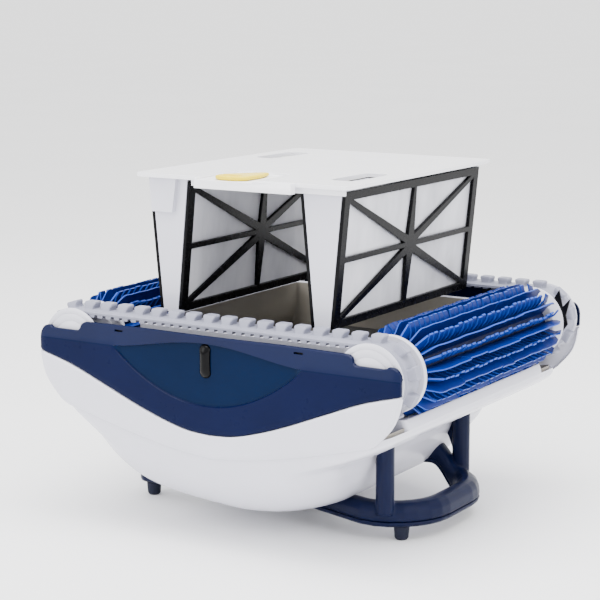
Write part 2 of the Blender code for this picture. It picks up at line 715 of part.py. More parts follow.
def swivel():
    """Cable gland that turns about Z under the dome."""
    pivot = empty("swivel_axis", (SWIVEL_X, 0, 0))
    body = turn_z([(0.0062, 0.0090), (0.0080, 0.0115), (0.0185, 0.0115), (0.0185, 0.0090), (0.0338, 0.0090),
                   (0.0338, 0.0140), (0.0364, 0.0140)], 16, closed=False)
    gland = make("swivel_gland", body, black_plastic(), pivot)
    nose = make("gland_nose", turn_y([(-0.026, 0.0040), (-0.0240, 0.0052), (0.0, 0.0075)], 12, closed=False), steel(),
                location=(SWIVEL_X, 0, 0.0130))
    boolean(gland, nose, "UNION")
    bore = turn_y([(-0.03, 0.0030), (-0.012, 0.0030)], 12, closed=False)
    boolean(gland, make("gland_bore", bore, steel(), location=(SWIVEL_X, 0, 0.0130)))


# ---------------------------------------------------------------- handle
def handle_line():
    """Centre line of the handle's loop in plan, from its left end round the front to its right end."""
    end_x, end_y = HANDLE_END
    bend_x, bend_y = HANDLE_FRONT_X - HANDLE_BEND_R, HANDLE_Y - HANDLE_BEND_R
    straight = [Vector((end_x, end_y)).lerp(Vector((bend_x, HANDLE_Y)), i / 5) for i in range(5)]
    bend = []
    for i in range(8):
        angle = math.radians(90 - 90 * i / 7)
        bend.append(Vector((bend_x + HANDLE_BEND_R * math.cos(angle), bend_y + HANDLE_BEND_R * math.sin(angle))))
    half = straight + bend
    line = [Vector((p.x, -p.y)) for p in half] + list(reversed(half))
    run = []
    for i, point in enumerate(line):
        along = (line[min(i + 1, len(line) - 1)] - line[max(i - 1, 0)]).normalized()
        run.append((point, Vector((along.y, -along.x))))
    return run


def rise_at(x):
    """Height that the loop has gained at X on its way back into the dome."""
    share = min(max((0.120 - x) / 0.125, 0.0), 1.0)
    return HANDLE_RISE * share


def strip_section(point, normal, z_low, z_high, half):
    """A rectangle with cut lower corners across the handle."""
    cut = 0.0025
    corners = ((-half, z_high), (-half, z_low + cut), (-half + cut, z_low), (half - cut, z_low),
               (half, z_low + cut), (half, z_high))
    return [Vector((point.x + normal.x * w, point.y + normal.y * w, z)) for w, z in corners]


def tube_section(point, normal, z_low, z_high, half, steps=8):
    """A half-round hump that stands on the parting line."""
    ring = []
    for k in range(steps + 1):
        angle = math.pi * k / steps
        w = half * math.copysign(abs(math.cos(angle)) ** 0.8, math.cos(angle))
        z = z_low + 0.004 + (z_high - z_low - 0.004) * math.sin(angle) ** 0.9
        ring.append(Vector((point.x + normal.x * w, point.y + normal.y * w, z)))
    ring.append(Vector((point.x - normal.x * half, point.y - normal.y * half, z_low)))
    ring.append(Vector((point.x + normal.x * half, point.y + normal.y * half, z_low)))
    return ring


def handle():
    """Handle loop of a lower strip and an upper tube with two struts, two rear rails, and four feet."""
    low, parting, top = HANDLE_Z
    line = handle_line()
    half = HANDLE_W / 2
    strip = [strip_section(p, n, low + rise_at(p.x), parting + rise_at(p.x) - GAP, half) for p, n in line]
    boolean(make("handle_strip", loft(strip), handle_blue(), sharp=50), dome_cutter("strip"))
    rings = []
    for p, n in line:
        # The tube thins a little towards its ends.
        slim = 1.0 - 0.25 * rise_at(p.x) / HANDLE_RISE
        lift = rise_at(p.x)
        rings.append(tube_section(p, n, parting + lift, parting + lift + (top - parting) * slim, half))
    tube = make("handle_tube", loft(rings), handle_blue(), sharp=50)
    x, y, radius = STRUT
    for side in (-1, 1):
        strut = turn_z([(parting + 0.008, radius), (0.112, radius)], 14, closed=False)
        boolean(tube, make(f"strut_{side}", strut, steel(), location=(x, side * y, 0)), "UNION")
    web = [(0.122, 0.036), (0.122, 0.100), (0.098, 0.100), (0.0975, 0.0600), (0.106, 0.0595), (0.1135, 0.054),
           (0.1185, 0.046)]
    web_rings = [[Vector((px, y + w, pz)) for px, pz in web] for w in (-0.002, 0.002)]
    boolean(tube, make("strut_web", loft(web_rings), steel()), "UNION")
    # The struts and the tube's ends stop just short of the hull: the dome, grown by the gap, trims them.
    boolean(tube, dome_cutter("tube"))
    for side_name, side in SIDES.items():
        rear_rail(side_name, side)
        front = min((p for p, _ in line), key=lambda p: (p - Vector((0.1390, side * 0.071))).length)
        foot(f"foot_front_{side_name}", front, low - GAP)
        foot(f"foot_rear_{side_name}", Vector((-0.170, side * REAR_RAIL_Y)), REAR_RAIL_Z - GAP)


REAR_RAIL_Z = 0.0145


def rear_rail(side_name, side):
    """Short rail under the rear of the dome, with a round end."""
    half, height = 0.0120, 0.0165
    rings = []
    for share in (0.0, 0.35, 0.75, 1.0):
        angle = math.acos(1 - share)
        rings.append((REAR_RAIL_END_X + half * share, max(half * math.sin(angle), 0.0045)))
    rings += [(-0.150, half), (-0.118, half), (-0.085, half)]
    sections = []
    for x, half_width in rings:
        climb = max(x + 0.150, 0.0) * 0.28
        low, high = REAR_RAIL_Z + climb, REAR_RAIL_Z + climb + height
        corners = ((-1.0, low + 0.003), (-0.75, low), (0.75, low), (1.0, low + 0.003), (1.0, high - 0.005),
                   (0.6, high), (-0.6, high), (-1.0, high - 0.005))
        sections.append([Vector((x, side * REAR_RAIL_Y + half_width * w, z)) for w, z in corners])
    rail = make(f"rear_rail_{side_name}", loft(sections), handle_blue(), sharp=50)
    boolean(rail, dome_cutter(f"rail_{side_name}"))


def foot(name, at, top):
    profile = [(0.0, 0.0056), (0.0018, 0.0070), (top, 0.0082)]
    make(name, turn_z(profile, 12, closed=False), handle_blue(), location=(at.x, at.y, 0))


def dome_cutter(name):
    """The dome as a solid, a little larger, which trims what meets it."""
    rings = []
    for side_z, front_z, rear_z, front_x, rear_x, half_y, radius in DOME:
        rings.append(hull_ring(side_z - GAP, front_z - GAP, rear_z - GAP, front_x + GAP, rear_x + GAP,
                               half_y + GAP, radius))
    rings.append([Vector((p.x, p.y, 0.150)) for p in rings[-1]])
    return make(f"dome_cutter_{name}", loft(rings), steel())


# ---------------------------------------------------------------- filter basket
def face_x(z, side):
    """X of a cartridge's inner (0) or outer (1) face at a height."""
    share = (z - FILTER_BOTTOM_Z) / (FILTER_TOP_Z - FILTER_BOTTOM_Z)
    return FILTER_BOTTOM_X[side] + share * (FILTER_TOP_X[side] - FILTER_BOTTOM_X[side])


def cartridge_body(end_name, basket):
    """White U of two end walls and a floor, with a pocket on the outside of one end wall."""
    end = ENDS[end_name]
    wall, floor = 0.003, 0.0030
    top = LID_Z - LID_T - GAP
    y_out, y_in = FILTER_HALF_Y, FILTER_HALF_Y - wall
    profile = [(-y_out, top), (-y_out, FILTER_BOTTOM_Z), (y_out, FILTER_BOTTOM_Z), (y_out, top), (y_in, top),
               (y_in, FILTER_BOTTOM_Z + floor), (-y_in, FILTER_BOTTOM_Z + floor), (-y_in, top)]
    clear = FRAME_T + GAP
    rings = [[Vector((end * (face_x(z, face) + shift), y, z - LID_Z)) for y, z in profile]
             for face, shift in ((0, clear), (1, -clear))]
    body = make(f"cartridge_{end_name}", loft(rings), white_shell(), basket)
    pocket_z = (0.3240, top)
    side = end
    outline = [((0.078, 0.111), pocket_z[1]), ((0.083, 0.108), pocket_z[0])]
    corners = [Vector((end * x, 0, z - LID_Z)) for (a, b), z in outline for x in (a, b)]
    order = (0, 1, 3, 2)
    ring_in = [corners[i] + Vector((0, side * (y_out - 0.001), 0)) for i in order]
    ring_out = [corners[i] + Vector((0, side * (y_out + 0.0055), 0)) for i in order]
    pocket = make(f"pocket_{end_name}", loft([ring_in, ring_out]), steel(), basket)
    boolean(body, pocket, "UNION")


def frame_outlines(half_y, height):
    """A filter frame in its own plane: border, hub and eight spokes round eight three-cornered windows."""
    border_side, border_end = 0.011, 0.0085
    outer = [(-half_y, 0), (half_y, 0), (half_y, height), (-half_y, height)]
    inner_y, low, high = half_y - border_side, border_end, height - border_end
    middle = (low + high) / 2
    ring = [(inner_y, middle), (inner_y, high), (0, high), (-inner_y, high), (-inner_y, middle),
            (-inner_y, low), (0, low), (inner_y, low)]
    hub, spoke = 0.0080, 0.0028
    windows = []
    for i, start in enumerate(ring):
        end = ring[(i + 1) % 8]
        centre = Vector((0.0, middle))
        a, b = Vector(start) - centre, Vector(end) - centre
        ends = []
        for along, other in ((a, b), (b, a)):
            direction = along.normalized()
            across = Vector((-direction.y, direction.x))
            across *= 1 if across.dot(other) > 0 else -1
            ends.append((direction, across * spoke))
        edge = (b - a).normalized()
        first = meet(ends[0][1], ends[0][0], a, edge)
        second = meet(ends[1][1], ends[1][0], a, edge)
        tip = meet(ends[0][1], ends[0][0], ends[1][1], ends[1][0])
        tip = tip.normalized() * max(tip.length, hub + 0.004)
        windows.append([centre + first, centre + second, centre + tip])
    return outer, windows


def meet(p, p_dir, q, q_dir):
    """Where two lines in a plane cross."""
    cross = p_dir.x * q_dir.y - p_dir.y * q_dir.x
    gap = q - p
    return p + p_dir * ((gap.x * q_dir.y - gap.y * q_dir.x) / cross)


def filter_panel(end_name, face, basket):
    """Black frame and the filter cloth behind it, on the inner (0) or outer (1) slope of a cartridge."""
    end = ENDS[end_name]
    face_name = ("inner", "outer")[face]
    outward = end if face else -end
    bottom = Vector((end * FILTER_BOTTOM_X[face], 0, FILTER_BOTTOM_Z - LID_Z))
    top = Vector((end * FILTER_TOP_X[face], 0, FILTER_TOP_Z - LID_Z))
    up = (top - bottom).normalized()
    height = (top - bottom).length
    across = Vector((0, outward, 0))
    normal = across.cross(up)
    outer, windows = frame_outlines(FILTER_HALF_Y, height)
    plate(f"filter_frame_{end_name}_{face_name}", [outer, *windows], FRAME_T, black_plastic(), basket,
          axes_matrix(across, up, bottom - normal * FRAME_T / 2))
    cloth_t, margin = 0.0010, 0.0042
    cloth = [(-FILTER_HALF_Y + margin, margin), (FILTER_HALF_Y - margin, margin),
             (FILTER_HALF_Y - margin, height - 0.001), (-FILTER_HALF_Y + margin, height - 0.001)]
    plate(f"filter_cloth_{end_name}_{face_name}", [cloth], cloth_t, filter_white(), basket,
          axes_matrix(across, up, bottom - normal * (FRAME_T + GAP + cloth_t / 2)))


TAB_X = (-0.046, 0.066)
LATCH_X = -0.010
LATCH_HALF_X = 0.019
LATCH_LEN = 0.062
LATCH_SINK = 0.0020
LATCH_ROOM = 0.066


def lid(basket):
    """Lid plate with two debris inlets, a tab with a latch pocket on its left edge, and a rib under each edge."""
    x0, y0, width, length = INLET
    inlets = [[(p.x + sx * x0, p.y - sx * y0) for p in rounded_rectangle(width / 2, length / 2, 0.008, 2)]
              for sx in (1, -1)]
    outline = rounded_rectangle(LID_HALF_X, LID_HALF_Y, 0.007, 2)
    top = plate("lid_plate", [outline, *inlets], LID_T, white_shell(), basket,
                Matrix.Translation((0, 0, -LID_T / 2)))
    # A curve takes no Boolean, so the finished plate is turned into a mesh before the pockets are cut.
    top = curve_to_mesh(top)
    for side in (-1, 1):
        rib = box((-0.060, -0.0015, -0.0105), (0.1165, 0.0015, -LID_T + 0.001))
        turned = Matrix.Rotation(0 if side < 0 else math.pi, 4, "Z")
        rib_at = Matrix.Translation((0, side * 0.1450, 0)) @ turned
        boolean(top, make(f"lid_rib_{side}", rib, steel(), basket, matrix=rib_at), "UNION")
    tab_low, tab_high = TAB_X
    tab = box((tab_low, -LID_HALF_Y - 0.0075, -0.0105), (tab_high, -HULL_HALF_Y - 0.0007, -0.0005))
    boolean(top, make("lid_tab", tab, steel(), basket), "UNION")
    pocket = box((tab_low + 0.003, -LID_HALF_Y - 0.02, -LATCH_SINK), (0.022, LATCH_ROOM - LID_HALF_Y, 0.004))
    boolean(top, make("latch_pocket", pocket, steel(), basket))


def curve_to_mesh(obj):
    """The same object as a mesh, under the same name."""
    bpy.context.view_layer.update()
    graph = bpy.context.evaluated_depsgraph_get()
    mesh = bpy.data.meshes.new_from_object(obj.evaluated_get(graph))
    bm = bmesh.new()
    bm.from_mesh(mesh)
    bmesh.ops.remove_doubles(bm, verts=bm.verts, dist=0.000001)
    name, parent, matrix = obj.name, obj.parent, obj.matrix_local.copy()
    mat = obj.data.materials[0]
    bpy.data.objects.remove(obj)
    return make(name, bm, mat, parent, matrix=matrix)


def latch(basket):
    """Yellow three-cornered latch in its pocket, sliding out along -Y to lock."""
    slide = empty("latch_slide", (LATCH_X, -LID_HALF_Y, 0), basket)
    low, high = GAP - LATCH_SINK, 0.0024
    outline = [(-LATCH_HALF_X, -0.003), (LATCH_HALF_X, -0.003), (LATCH_HALF_X, 0.005), (0.013, LATCH_LEN - 0.012),
               (0.010, LATCH_LEN - 0.010), (-LATCH_HALF_X, 0.006)]
    rings = [[Vector((x, y, z)) for x, y in outline] for z in (low, high)]
    make("lid_latch", loft(rings), latch_yellow(), slide)


def inlet_flap(end_name, basket):
    """Flap that hangs down from the inner long edge of a debris inlet, hinged about Y."""
    end = ENDS[end_name]
    x0, y0, width, length = INLET
    hinge_x = end * (x0 - width / 2 + 0.0045)
    hinge = empty(f"flap_{end_name}_hinge", (hinge_x, -end * y0, -LID_T - 0.0016), basket)
    half = length / 2 - 0.004
    make(f"inlet_flap_{end_name}", box((-0.0007, -half, -0.0225), (0.0007, half, 0.0010)), grey_plastic(), hinge)


def filter_basket():
    basket = empty("filter_basket", (0, 0, LID_Z))
    lid(basket)
    for end_name in ENDS:
        cartridge_body(end_name, basket)
        for face in (0, 1):
            filter_panel(end_name, face, basket)
        inlet_flap(end_name, basket)
    latch(basket)


# ---------------------------------------------------------------- assembly
def main():
    clear_scene()
    hull_shell()
    for side_name in SIDES:
        side_covers(side_name)
        track(side_name)
    claw_ring(axle("front"))
    axle("rear")
    drive()
    motor_unit()
    pump()
    swivel()
    handle()
    filter_basket()


main()
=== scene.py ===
"""Looks of a tracked pool cleaner that stands upside-down on its carrying handle, its filter basket lifted.

Metres, +Z up, in the CAD frame. Front is +X, rear is -X, left is -Y and faces the camera, right is +Y.
"""

import json
import math
import random

import bmesh
import bpy
from mathutils import Matrix, Vector, noise


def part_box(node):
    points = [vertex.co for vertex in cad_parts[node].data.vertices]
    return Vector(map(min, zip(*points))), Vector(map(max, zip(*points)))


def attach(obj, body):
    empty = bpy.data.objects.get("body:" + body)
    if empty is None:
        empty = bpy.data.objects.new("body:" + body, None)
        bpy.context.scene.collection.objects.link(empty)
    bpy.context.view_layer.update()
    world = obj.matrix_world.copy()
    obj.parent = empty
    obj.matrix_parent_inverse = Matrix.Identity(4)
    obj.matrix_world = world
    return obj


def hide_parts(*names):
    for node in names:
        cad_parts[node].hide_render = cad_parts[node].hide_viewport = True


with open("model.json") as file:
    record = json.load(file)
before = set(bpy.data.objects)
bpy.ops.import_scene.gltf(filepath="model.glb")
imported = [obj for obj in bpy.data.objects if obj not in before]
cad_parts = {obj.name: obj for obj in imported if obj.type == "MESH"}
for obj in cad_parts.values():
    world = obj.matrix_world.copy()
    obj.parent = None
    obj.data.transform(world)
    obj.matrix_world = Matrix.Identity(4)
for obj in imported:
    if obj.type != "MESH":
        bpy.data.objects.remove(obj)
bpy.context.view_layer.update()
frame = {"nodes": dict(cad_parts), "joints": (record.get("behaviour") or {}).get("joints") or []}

JOINTS = {joint["name"]: joint for joint in frame["joints"]}
SIDES = {"left": -1, "right": 1}
ENDS = {"front": 1, "rear": -1}
AXLE = {end: Vector(JOINTS[f"{end}_axle_spin"]["pos_m"]) for end in ENDS}
DRIVE = Vector(JOINTS["drive_shaft_spin"]["pos_m"])
SWIVEL = Vector(JOINTS["cable_swivel_turn"]["pos_m"])

HALF_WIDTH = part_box("side_panel_right")[1].y  # outer face of a side panel
HALF_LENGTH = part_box("side_panel_right")[1].x
HULL_HALF_Y = 0.153
RIM_Z = 0.2095
LIP_HALF_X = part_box("hull_shell")[1].x
LIP_Z = 0.1430
TROUGH_R = 0.050
WALL = 0.004
SHAFT_HOLE_R, OUTLET_HOLE_R, GLAND_HOLE_R = 0.0092, 0.0405, 0.0095


# ---------------------------------------------------------------- materials
class Shader:
    """A Principled material whose colour, roughness and bump come from procedural textures."""

    def __init__(self, name, roughness, metallic=0.0, **constants):
        self.material = bpy.data.materials.new(name)
        self.material.use_nodes = True
        self.nodes = self.material.node_tree.nodes
        self.links = self.material.node_tree.links
        self.surface = self.nodes["Principled BSDF"]
        self.set(self.surface, Roughness=roughness, Metallic=metallic)
        for key, value in constants.items():
            self.surface.inputs[key.replace("_", " ")].default_value = value
        self.place = self.nodes.new("ShaderNodeTexCoord").outputs["Object"]
        self.bumps = []

    @staticmethod
    def set(node, **values):
        for key, value in values.items():
            node.inputs[key.replace("_", " ")].default_value = value

    def noise(self, scale, detail=3.0, roughness=0.5, stretch=None):
        """Noise of the given number of cells per metre, drawn out along an axis when asked."""
        node = self.nodes.new("ShaderNodeTexNoise")
        self.set(node, Scale=scale, Detail=detail, Roughness=roughness)
        self.links.new(self.stretched(stretch), node.inputs["Vector"])
        return node.outputs["Fac"]

    def stretched(self, stretch):
        if stretch is None:
            return self.place
        mapping = self.nodes.new("ShaderNodeMapping")
        mapping.inputs["Scale"].default_value = stretch
        self.links.new(self.place, mapping.inputs["Vector"])
        return mapping.outputs["Vector"]

    def threads(self, scale, axis):
        """Sine bands across one axis, for woven cloth."""
        node = self.nodes.new("ShaderNodeTexWave")
        node.bands_direction = axis
        self.set(node, Scale=scale, Distortion=0.6, Detail=1.0)
        self.links.new(self.place, node.inputs["Vector"])
        return node.outputs["Fac"]

    def colour(self, factor, stops):
        """Base colour along a ramp. Each stop is a position and a linear RGB colour."""
        ramp = self.nodes.new("ShaderNodeValToRGB")
        elements = ramp.color_ramp.elements
        while len(elements) < len(stops):
            elements.new(0.5)
        for element, (position, colour) in zip(elements, stops):
            element.position = position
            element.color = (*colour, 1.0)
        self.links.new(factor, ramp.inputs["Fac"])
        self.links.new(ramp.outputs["Color"], self.surface.inputs["Base Color"])
        return self

    def gloss(self, factor, low, high):
        """Roughness that wanders between two values."""
        spread = self.nodes.new("ShaderNodeMapRange")
        spread.inputs["To Min"].default_value = low
        spread.inputs["To Max"].default_value = high
        self.links.new(factor, spread.inputs["Value"])
        self.links.new(spread.outputs["Result"], self.surface.inputs["Roughness"])
        return self

    def bump(self, factor, strength, distance):
        node = self.nodes.new("ShaderNodeBump")
        self.set(node, Strength=strength, Distance=distance)
        self.links.new(factor, node.inputs["Height"])
        if self.bumps:
            self.links.new(self.bumps[-1], node.inputs["Normal"])
        self.bumps.append(node.outputs["Normal"])
        self.links.new(node.outputs["Normal"], self.surface.inputs["Normal"])
        return self


def shade(colour, amount):
    return tuple(min(max(c * amount, 0.0), 1.0) for c in colour)


def tones(colour, variation, high):
    """Ramp stops for a colour that varies by a share of itself, from 0.3 up to a position."""
    return [(0.3, shade(colour, 1 - variation)), (high, shade(colour, 1 + variation))]


def moulded_plastic(name, colour, gloss, variation=0.05, grain=0.12, coat=0.0, specular=0.5):
    """Injection-moulded plastic: faint flow clouds, fine grain, and handling marks in the gloss."""
    shader = Shader(name, gloss, Coat_Weight=coat, Coat_Roughness=0.08, Specular_IOR_Level=specular)
    clouds = shader.noise(11, 4.0, 0.6)
    shader.colour(clouds, tones(colour, variation, 0.7))
    shader.gloss(shader.noise(60, 5.0, 0.7), gloss * 0.75, gloss * 1.35)
    shader.bump(shader.noise(1600, 2.0), grain, 0.0001)
    return shader.bump(shader.noise(24, 2.0), 0.10, 0.0008).material


def rubber(name, colour, gloss, variation=0.12, specular=0.25):
    """Soft moulded rubber with a dusty, uneven sheen."""
    shader = Shader(name, gloss, Specular_IOR_Level=specular)
    shader.colour(shader.noise(45, 5.0, 0.7), tones(colour, variation, 0.72))
    shader.gloss(shader.noise(120, 4.0, 0.6), gloss * 0.75, gloss * 1.3)
    shader.bump(shader.noise(900, 3.0), 0.22, 0.00015)
    return shader.bump(shader.noise(130, 2.0), 0.12, 0.0005).material


def brushed_metal(name, colour, gloss):
    shader = Shader(name, gloss, 1.0, Anisotropic=0.5)
    streaks = shader.noise(300, 3.0, 0.6, stretch=(1.0, 0.05, 1.0))
    shader.colour(streaks, [(0.3, shade(colour, 0.85)), (0.7, shade(colour, 1.1))])
    return shader.gloss(streaks, gloss * 0.8, gloss * 1.4).bump(streaks, 0.1, 0.0001).material


def filter_cloth():
    """Fine woven mesh with darker streaks painted in as crease shade, and a soft sheen."""
    shader = Shader("filter_cloth", 0.62, Sheen_Weight=0.25, Sheen_Roughness=0.4)
    # The dark end of this ramp is painted shade for the cloth's creases.
    shader.colour(shader.noise(13, 4.0, 0.65, stretch=(1.0, 1.0, 0.35)),
                  [(0.28, (0.48, 0.485, 0.53)), (0.46, (0.63, 0.635, 0.69)), (0.62, (0.74, 0.74, 0.79))])
    shader.gloss(shader.noise(90), 0.5, 0.75)
    for axis in "YZ":
        shader.bump(shader.threads(420, axis), 0.25, 0.0002)
    return shader.material


def circuit_board():
    shader = Shader("circuit_board", 0.4)
    cells = shader.nodes.new("ShaderNodeTexVoronoi")
    cells.inputs["Scale"].default_value = 160
    shader.links.new(shader.place, cells.inputs["Vector"])
    shader.colour(cells.outputs["Distance"], [(0.1, (0.02, 0.16, 0.06)), (0.6, (0.01, 0.07, 0.03))])
    return shader.bump(cells.outputs["Distance"], 0.5, 0.0008).material


WHITE = moulded_plastic("glossy_white", (0.60, 0.60, 0.68), 0.22, 0.03, 0.05, coat=0.25)
LID_WHITE = moulded_plastic("lid_white", (0.84, 0.84, 0.88), 0.14, 0.02, 0.04, coat=0.5)
NAVY = moulded_plastic("navy_cover", (0.0016, 0.0042, 0.0260), 0.28, 0.12, 0.12, specular=0.06)
# A lighter navy for the band above the crease: painted light, standing in for the light the upward-tilted band
# catches.
NAVY_LIT_BAND = moulded_plastic("navy_bevel_painted_light", (0.0022, 0.0055, 0.0300), 0.30, 0.12, 0.16, specular=0.12)
RECESS = moulded_plastic("deep_blue_recess", (0.0002, 0.0062, 0.0270), 0.16, 0.10, 0.06, specular=0.05)
HANDLE = moulded_plastic("navy_handle", (0.0022, 0.0046, 0.0230), 0.32, 0.12, 0.16, specular=0.10)
PLUG = moulded_plastic("gloss_black", (0.0006, 0.0006, 0.0010), 0.08, 0.10, 0.02, specular=0.10)
BLACK = moulded_plastic("black_plastic", (0.0026, 0.0026, 0.0034), 0.33, 0.15, 0.25, specular=0.15)
FRAME = moulded_plastic("black_frame", (0.0016, 0.0016, 0.0024), 0.26, 0.18, 0.25, specular=0.09)
WHEEL = moulded_plastic("wheel_white", (0.54, 0.54, 0.61), 0.28, 0.04, 0.12)
# The darker grey-brown of the tub's inside is painted shade on the white hull plastic.
TUB_INSIDE_SHADE = moulded_plastic("tub_inside_painted_shade", (0.30, 0.275, 0.235), 0.42, 0.08, 0.25)
YELLOW = moulded_plastic("yellow_latch", (0.80, 0.60, 0.0), 0.25, 0.06, 0.10, specular=0.2)
CASE = moulded_plastic("grey_case", (0.060, 0.060, 0.064), 0.42, 0.12, 0.30)
TRACK = rubber("track_grey", (0.24, 0.245, 0.31), 0.46, 0.06)
BRUSH = rubber("brush_blue", (0.0006, 0.014, 0.150), 0.34, specular=0.12)
# A lighter blue for the fin tips and strip ends: painted highlight where the edges catch the light.
BRUSH_TIP_HIGHLIGHT = rubber("brush_tip_painted_highlight", (0.018, 0.060, 0.34), 0.42, specular=0.15)
CORE = rubber("brush_core_blue", (0.0008, 0.007, 0.07), 0.5)
SOLE = rubber("foot_sole", (0.0030, 0.0050, 0.0180), 0.6)
STEEL = brushed_metal("turned_steel", (0.56, 0.56, 0.57), 0.28)
CAN = brushed_metal("motor_can", (0.46, 0.47, 0.49), 0.38)
CLOTH = filter_cloth()
BOARD = circuit_board()


# ---------------------------------------------------------------- shapes
def piece(name, bm, materials, body, replaced=(), sharp=35, bevel=0.0):
    """Turns a bmesh into a named piece that rides on a body and stands for CAD nodes."""
    bmesh.ops.recalc_face_normals(bm, faces=bm.faces)
    mesh = bpy.data.meshes.new(name)
    bm.to_mesh(mesh)
    bm.free()
    for material in materials:
        mesh.materials.append(material)
    mesh.shade_smooth()
    mesh.set_sharp_from_angle(angle=math.radians(sharp))
    obj = bpy.data.objects.new(name, mesh)
    bpy.context.scene.collection.objects.link(obj)
    if bevel:
        edge = obj.modifiers.new("edge", "BEVEL")
        edge.width = bevel
        edge.segments = 2
        edge.limit_method = "ANGLE"
        edge.angle_limit = math.radians(sharp)
        edge.harden_normals = True
    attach(obj, body)
    if replaced:
        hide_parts(*replaced)
    return obj


def skin(bm, rings, caps=(True, True), closed=False, material=0):
    """Joins rings of equal length into a skin and returns its rows of vertices."""
    rows = [[bm.verts.new(p) for p in ring] for ring in rings]
    pairs = list(zip(rows, rows[1:] + rows[:1])) if closed else list(zip(rows, rows[1:]))
    for low, high in pairs:
        for i in range(len(low)):
            j = (i + 1) % len(low)
            bm.faces.new((low[i], low[j], high[j], high[i])).material_index = material
    if not closed and caps[0]:
        bm.faces.new(list(reversed(rows[0]))).material_index = material
    if not closed and caps[1]:
        bm.faces.new(rows[-1]).material_index = material
    return rows


def solid(rings, **options):
    bm = bmesh.new()
    skin(bm, rings, **options)
    return bm


def turned(bm, profile, centre, axis="Y", steps=64, closed=True):
    """Turns a profile of (distance along the axis, radius) about an axis through a centre."""
    rings = []
    for along, radius in profile:
        ring = []
        for i in range(steps):
            angle = math.tau * i / steps
            a, b = radius * math.cos(angle), radius * math.sin(angle)
            offset = Vector((a, along, b)) if axis == "Y" else Vector((a, b, along))
            ring.append(Vector(centre) + offset)
        rings.append(ring)
    return skin(bm, rings, closed=closed)


def rounded_rectangle(half_x, half_y, radius, steps=8):
    points = []
    for quarter, (sx, sy) in enumerate(((1, 1), (-1, 1), (-1, -1), (1, -1))):
        for i in range(steps + 1):
            angle = math.pi / 2 * (quarter + i / steps)
            points.append(Vector((sx * (half_x - radius) + radius * math.cos(angle),
                                  sy * (half_y - radius) + radius * math.sin(angle))))
    return points


def evaluated_bmesh(obj):
    """The object's mesh with its modifiers applied, in the shared frame."""
    bpy.context.view_layer.update()
    graph = bpy.context.evaluated_depsgraph_get()
    mesh = bpy.data.meshes.new_from_object(obj.evaluated_get(graph))
    bm = bmesh.new()
    bm.from_mesh(mesh)
    bm.transform(obj.matrix_world)
    bpy.data.meshes.remove(mesh)
    return bm


def scratch(bm):
    """A temporary object, used as a cutter or a base for modifiers."""
    mesh = bpy.data.meshes.new("scratch")
    bm.to_mesh(mesh)
    bm.free()
    obj = bpy.data.objects.new("scratch", mesh)
    bpy.context.scene.collection.objects.link(obj)
    return obj


def carved(bm, cutters, operation="DIFFERENCE"):
    """The bmesh after a Boolean with each cutter."""
    base = scratch(bm)
    others = [scratch(cutter) for cutter in cutters]
    for other in others:
        modifier = base.modifiers.new("cut", "BOOLEAN")
        modifier.object = other
        modifier.operation = operation
        modifier.solver = "EXACT"
    result = evaluated_bmesh(base)
    for obj in (base, *others):
        bpy.data.objects.remove(obj)
    return result


def cad_bmesh(*nodes):
    """CAD nodes' own surface, with its triangles merged back into flat faces."""
    bm = bmesh.new()
    for node in nodes:
        source = frame["nodes"][node]
        mesh = source.data.copy()
        mesh.transform(source.matrix_world)
        bm.from_mesh(mesh)
        bpy.data.meshes.remove(mesh)
    bmesh.ops.remove_doubles(bm, verts=bm.verts, dist=0.00001)
    bmesh.ops.dissolve_limit(bm, angle_limit=math.radians(1.5), verts=bm.verts, edges=bm.edges)
    return bm


def refined(node, material, body, bevel=0.0006, sharp=30):
    """A CAD node with softened edges."""
    return piece(f"{node}_finish", cad_bmesh(node), [material], body, [node], sharp=sharp, bevel=bevel)


def flowing(node, material, body, voxel=0.0009, passes=12, bend=None):
    """A CAD node whose facets and corners are melted into one moulded surface, bent afterwards when asked."""
    obj = scratch(cad_bmesh(node))
    remesh = obj.modifiers.new("remesh", "REMESH")
    remesh.mode = "VOXEL"
    remesh.voxel_size = voxel
    soften = obj.modifiers.new("soften", "SMOOTH")
    soften.factor = 0.5
    soften.iterations = passes
    bm = evaluated_bmesh(obj)
    bpy.data.objects.remove(obj)
    for vert in bm.verts if bend else ():
        vert.co = bend(vert.co)
    return piece(f"{node}_finish", bm, [material], body, [node], sharp=180)


def ease(value):
    value = min(max(value, 0.0), 1.0)
    return value * value * (3 - 2 * value)


def far_arm(point):
    """Arches the right arm of the carrying handle up to the hull, whose underside it meets."""
    side, forward = ease((point.y - 0.020) / 0.050), ease((0.134 - point.x) / 0.036)
    underside = straight_line([(0.0, 0.0235), (0.070, 0.031), (0.093, 0.044), (0.105, 0.060), (0.114, 0.078)])
    height = point.z + 0.026 * side * forward
    if side > 0.5 and point.x < 0.114:
        height = min(height, underside(point.x) + 0.0015)
    return Vector((point.x, point.y, height))


def smooth_line(points):
    """A function of x through the points, with a slope that changes smoothly."""
    xs, ys = [p[0] for p in points], [p[1] for p in points]
    slopes = []
    for i in range(len(points)):
        a, b = max(i - 1, 0), min(i + 1, len(points) - 1)
        slopes.append((ys[b] - ys[a]) / (xs[b] - xs[a]))

    def at(x):
        x = min(max(x, xs[0]), xs[-1])
        i = next((k for k in range(len(xs) - 1) if x <= xs[k + 1]), len(xs) - 2)
        width = xs[i + 1] - xs[i]
        t = (x - xs[i]) / width
        h00, h10 = 2 * t**3 - 3 * t**2 + 1, t**3 - 2 * t**2 + t
        h01, h11 = -2 * t**3 + 3 * t**2, t**3 - t**2
        return h00 * ys[i] + h10 * width * slopes[i] + h01 * ys[i + 1] + h11 * width * slopes[i + 1]

    return at


def straight_line(points):
    """A function of x through the points, straight between them."""
    def at(x):
        x = min(max(x, points[0][0]), points[-1][0])
        for (x0, y0), (x1, y1) in zip(points, points[1:]):
            if x <= x1:
                return y0 + (y1 - y0) * (x - x0) / (x1 - x0)
        return points[-1][1]

    return at


